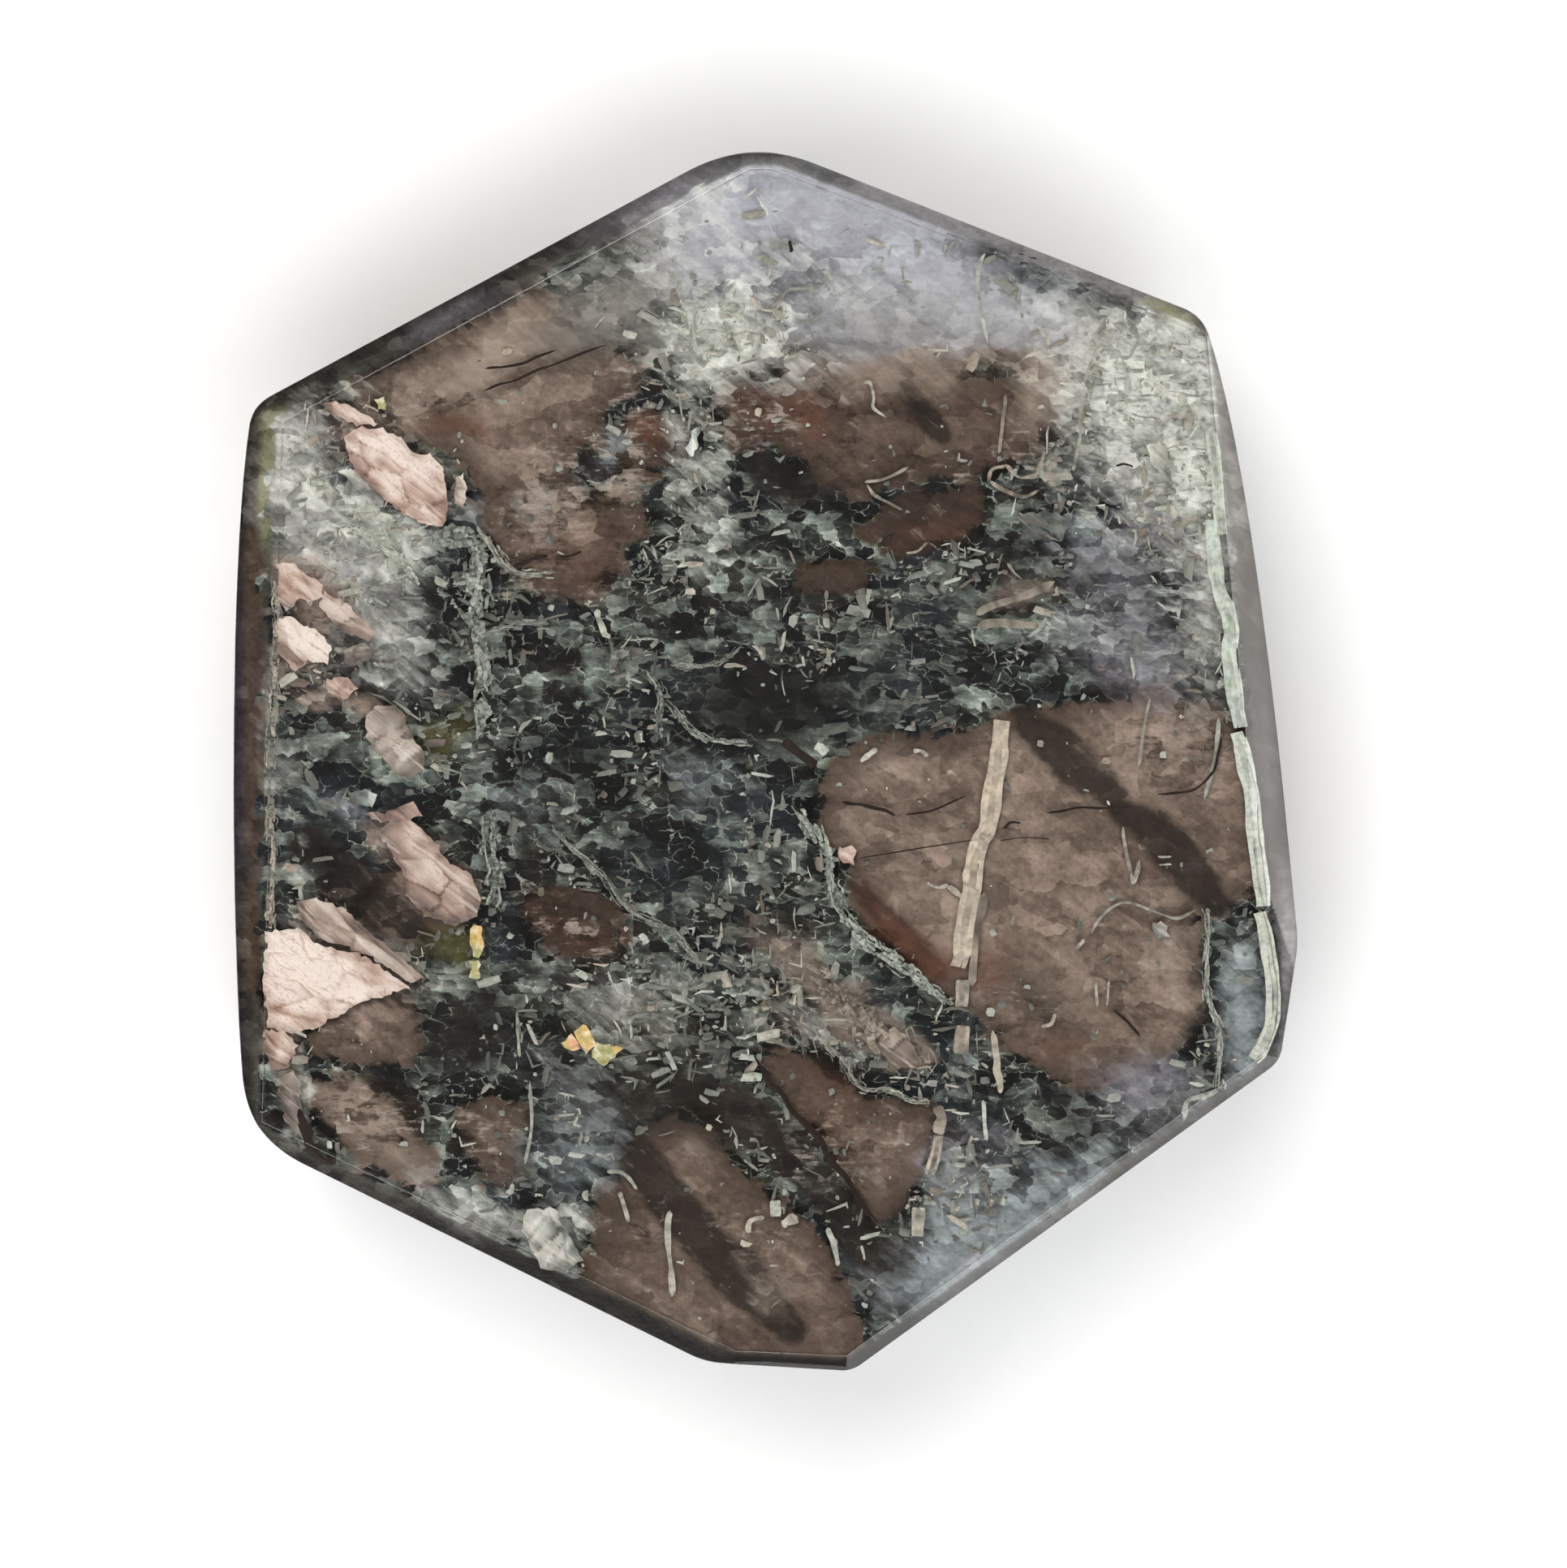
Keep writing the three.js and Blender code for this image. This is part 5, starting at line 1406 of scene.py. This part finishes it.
def buildFlecks(name, kind, material):
    heap = newHeap()
    square = math.pi / 2
    setup = {**fleckSetup, **fleckSetup[kind]}
    draws = np.random.default_rng(setup["seed"])
    low, high = stoneCorners[:, :2].min(axis=0), stoneCorners[:, :2].max(axis=0)
    flat = draws.uniform(low, high, (setup["tries"], 2))
    flat = flat[tableDistance(flat) > setup["edgeGap"]]
    points = np.column_stack([flat, skinHeight(flat, growthSetup["skin"])])
    marks = markings(points)
    clusters = smoothStep(lumps(points, 0.5, 41) + 0.6 * lumps(points, 0.2, 42), -0.3, 0.9)
    density = (1 - smoothStep(marks["brown"], -0.06, 0.04)) * clusters * (1 - 0.8 * marks["ink"])
    density *= 1 - 0.8 * smoothStep(marks["bar"], -0.04, 0.02)
    density += sum(setup[zone] * marks[zone] for zone in ("pale", "ash", "shattered"))
    density += setup["anywhere"]
    density *= 1 - 0.98 * np.maximum(marks["lavender"], marks["smoke"])
    offPlates = [insideDistance(flat, np.array(outline)) < 0 for outline, *_ in plates.values()]
    density *= np.all(offPlates, axis=0)
    kept = draws.random(len(flat)) < density
    flat, marks = flat[kept], {key: values[kept] for key, values in marks.items()}
    count = len(flat)
    sizes = draws.random(count) ** setup["mostlySmall"]
    lengths = np.interp(sizes, (0, 1), setup["length"]) * np.where(marks["brown"] > 0, 0.5, 1)
    lengths = np.minimum(lengths, tableDistance(flat))
    widths = np.interp(draws.random(count) * (0.4 + 0.6 * sizes), (0, 1), setup["width"])
    picks = draws.random(count)
    turns = np.where(picks < setup["alongX"], 0.0, square)
    turns = np.where(picks > setup["alongX"] + setup["alongY"], draws.uniform(0, math.pi, count), turns)
    turns = turns + np.radians(setup["spread"]) * draws.normal(size=count)
    lowest, highest = sectorHeight(flat), skinHeight(flat, setup["roof"])
    heights = lowest + (highest - lowest) * draws.random(count) ** setup["mostlyLow"]
    bright = draws.random(count) ** setup["mostlySmall"]
    shades = 0.1 + 0.85 * bright + 0.5 * marks["pale"] - 0.15 * marks["ink"]
    haze = np.maximum(marks["lavender"], marks["ash"])
    shades = np.clip(np.maximum(shades, haze * (0.5 + 0.35 * bright)), 0, 1)
    warmths = np.clip(0.3 * draws.random(count) + 0.9 * marks["blush"] + 0.5 * marks["tan"]
                      + 0.5 * (draws.random(count) < setup["creamShare"]), 0, 1)
    centres = np.column_stack([flat, heights])
    if kind == "hooks":
        bends = draws.choice([0, 0, 0, 0.25, -0.25, square, -square], (count, 4))
        addHooks(heap, centres, lengths, widths, turns, bends, shades, warmths)
    else:
        tilts = np.radians(draws.normal(0, 12, (count, 2)))
        addSlivers(heap, centres, lengths, widths, turns, tilts, 0.8 * shades, warmths)
    return heapPiece(name, heap, material)


buildFlecks("matrixHooks", "hooks", pearl)
buildFlecks("matrixShards", "shards", pearl)


# Dark cracks and pits. Each is (half width, line)
cracks = {
    "rightLeft": (0.02, [(0.77, -0.41), (0.91, -0.43), (1.06, -0.46), (1.2, -0.49), (1.31, -0.55)]),
    "rightMiddle": (0.011, [(1.41, -0.54), (1.67, -0.5), (1.85, -0.42), (2.02, -0.35)]),
    "rightFaint": (0.007, [(0.93, -0.98), (1.47, -0.89), (2.11, -0.79)]),
    "rightFaint2": (0.007, [(2.36, -0.8), (2.59, -0.77), (2.87, -0.78)]),
    "rightHigh": (0.015, [(2.4, -0.68), (2.47, -0.62), (2.57, -0.62)]),
    "rightAcross": (0.015, [(2.84, -0.52), (3.0, -0.5), (3.16, -0.47), (3.4, -0.47), (3.68, -0.46)]),
    "rightArc": (0.013, [
        (3.94, -0.33), (4.14, -0.32), (4.33, -0.28), (4.5, -0.11), (4.56, 0.08), (4.59, 0.24)]),
    "rightFoot": (0.014, [(3.51, -2.5), (3.63, -2.61), (3.77, -2.76)]),
    "leftStreakA": (0.014, [(-2.82, 3.95), (-2.64, 3.97), (-2.44, 4.0), (-2.27, 4.08), (-2.1, 4.14)]),
    "leftStreakB": (0.014, [
        (-2.84, 3.72), (-2.68, 3.79), (-2.5, 3.84), (-2.31, 3.93), (-2.1, 4.0), (-1.82, 4.11),
        (-1.59, 4.19)]),
    "leftEdge": (0.026, [(-2.53, 1.96), (-2.43, 1.99), (-2.31, 2.04), (-2.19, 2.07)]),
    "leftEdge2": (0.014, [(-2.07, 2.06), (-1.95, 2.07), (-1.85, 2.11)]),
    "topTick": (0.02, [(0.25, 5.24), (0.26, 5.12)]),
    "topDashA": (0.008, [(2.54, 5.09), (2.6, 5.09)]),
    "topDashB": (0.008, [(2.56, 5.0), (2.64, 5.0)]),
    "topDashC": (0.009, [(2.64, 5.06), (2.73, 5.05)]),
    "webPit": (0.049, [(0.18, 0.2), (0.38, 0.07), (0.51, -0.05)]),
    "rimDark": (0.011, [(3.53, 2.97), (3.62, 2.99), (3.7, 2.96)]),
    "serrated": (0.034, [
        (-0.11, -2.96), (0.06, -3.25), (0.19, -3.36), (0.27, -3.51), (0.43, -3.67), (0.55, -3.81),
        (0.64, -4.0), (0.79, -4.16), (0.94, -4.41), (1.12, -4.62)]),
    "cornerPit": (0.054, [(-4.69, -3.5), (-4.63, -3.69), (-4.56, -3.87), (-4.42, -4.0), (-4.32, -3.97)]),
}

crackDepth = 0.045  # mm under the polished skin


# Open crack seen edge on: no light comes back, so the eye sees a near-black line
def openCrack():
    material = newMaterial("openCrack")
    add = partial(addNode, material)
    place = add("ShaderNodeTexCoord").outputs["Object"]
    # patches of grime 0.11 mm across
    grime = add("ShaderNodeTexNoise", {"Vector": place, "Scale": 9 / mm, "Detail": 2.0})
    colour = add("ShaderNodeMix", {
        0: grime.outputs["Fac"], 6: "#15110f", 7: "#3a2d27"}, data_type="RGBA").outputs[2]
    shader = add("ShaderNodeBsdfPrincipled", {
        "Base Color": colour, "Roughness": 0.5, "Specular IOR Level": 0.2})
    add("ShaderNodeOutputMaterial", {"Surface": shader.outputs["BSDF"]})
    return material


def buildCracks(material):
    heap = newHeap()
    for seed, (halfWidth, line) in enumerate(cracks.values()):
        addRibbon(heap, line, halfWidth, crackDepth, seed=seed + 200)
    return heapPiece("darkCracks", heap, material)


buildCracks(openCrack())


# Polished sapphire: clear, high-index crystal skin with a faint brown tint and fine polishing
# lines, so the eye sees into it under sharp gloss
skinSetup = {
    "edge": 0.018, "slack": 0.0002, "segments": 3,  # rounded edges: radius and its slack in mm
    "weld": 0.0003, "flatWithin": 0.2, "near": 1e-4,  # mm, degrees, and what counts as touching
    "ior": 1.768, "roughness": 0.02, "clear": "#fbf8f4",
    "tint": "#cdbba8", "density": 100,  # absorption per metre
    # real polishing lines are a few thousandths of a mm apart; these are 0.03 mm, to show
    "lines": (1.2, 0.03, 0.03), "linesTurn": 52, "linesDepth": 0.0004,  # mm
}


def polishedSapphire():
    material = newMaterial("polishedSapphire")
    add = partial(addNode, material)
    place = add("ShaderNodeTexCoord").outputs["Object"]
    turned = add("ShaderNodeMapping", {
        "Vector": place, "Rotation": (0, 0, math.radians(skinSetup["linesTurn"])),
        "Scale": [size * mm for size in skinSetup["lines"]]}, vector_type="TEXTURE").outputs["Vector"]
    lines = add("ShaderNodeTexNoise", {"Vector": turned, "Scale": 1.0, "Detail": 2.0})
    relief = add("ShaderNodeBump", {
        "Height": lines.outputs["Fac"], "Strength": 0.5, "Distance": skinSetup["linesDepth"] * mm})
    shader = add("ShaderNodeBsdfPrincipled", {
        "Base Color": skinSetup["clear"], "Transmission Weight": 1.0, "IOR": skinSetup["ior"],
        "Roughness": skinSetup["roughness"], "Normal": relief.outputs["Normal"]})
    depth = add("ShaderNodeVolumeAbsorption", {
        "Color": skinSetup["tint"], "Density": skinSetup["density"]})
    add("ShaderNodeOutputMaterial", {
        "Surface": shader.outputs["BSDF"], "Volume": depth.outputs["Volume"]})
    return material


# the stone with every edge rounded: an inset copy whose corners each carry a piece of a ball,
# wrapped by a hull that touches all the flat faces
def roundedStone():
    radius, steps = skinSetup["edge"], skinSetup["segments"]
    trios = np.array(list(combinations(range(len(stonePlanes)), 3)))
    normals, reach = stonePlanes[trios, :3], stonePlanes[trios, 3] - radius
    crossing = np.abs(np.linalg.det(normals)) > skinSetup["near"]
    normals, reach = normals[crossing], reach[crossing]
    corners = np.linalg.solve(normals, reach[:, :, None])[:, :, 0]
    outside = (corners @ stonePlanes[:, :3].T - stonePlanes[:, 3] + radius).max(axis=1)
    corners, normals = (kind[outside < skinSetup["near"]] for kind in (corners, normals))
    work = bmesh.new()
    for i in range(steps + 1):
        for j in range(steps + 1 - i):
            away = np.einsum("k,nkd->nd", (i / steps, j / steps, 1 - (i + j) / steps), normals)
            away /= np.linalg.norm(away, axis=1)[:, None]
            for point in corners + (radius - skinSetup["slack"]) * away:
                work.verts.new(point)
    bmesh.ops.remove_doubles(work, verts=work.verts, dist=skinSetup["weld"])
    hull = bmesh.ops.convex_hull(work, input=work.verts, use_existing_faces=False)
    spare = {v for v in hull["geom_interior"] + hull["geom_unused"] if isinstance(v, bmesh.types.BMVert)}
    bmesh.ops.delete(work, geom=list(spare), context="VERTS")
    bmesh.ops.dissolve_limit(work, angle_limit=math.radians(skinSetup["flatWithin"]), verts=work.verts,
                             edges=work.edges)
    bmesh.ops.recalc_face_normals(work, faces=work.faces)
    return work


def buildSkin(material):
    mesh = bpy.data.meshes.new("sapphireSkin")
    work = roundedStone()
    bmesh.ops.transform(work, matrix=Matrix.Scale(mm, 4), verts=work.verts)
    work.to_mesh(mesh)
    work.free()
    mesh.materials.append(material)
    piece = newObject("sapphireSkin", mesh)
    mesh.shade_smooth()
    weighted = piece.modifiers.new("flatFaces", "WEIGHTED_NORMAL")
    weighted.weight = 100
    piece.visible_shadow = False
    piece.visible_diffuse = False
    return piece


sapphireSkin = buildSkin(polishedSapphire())
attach(sapphireSkin, "root")
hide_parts(stoneNode)
print("polished skin made")
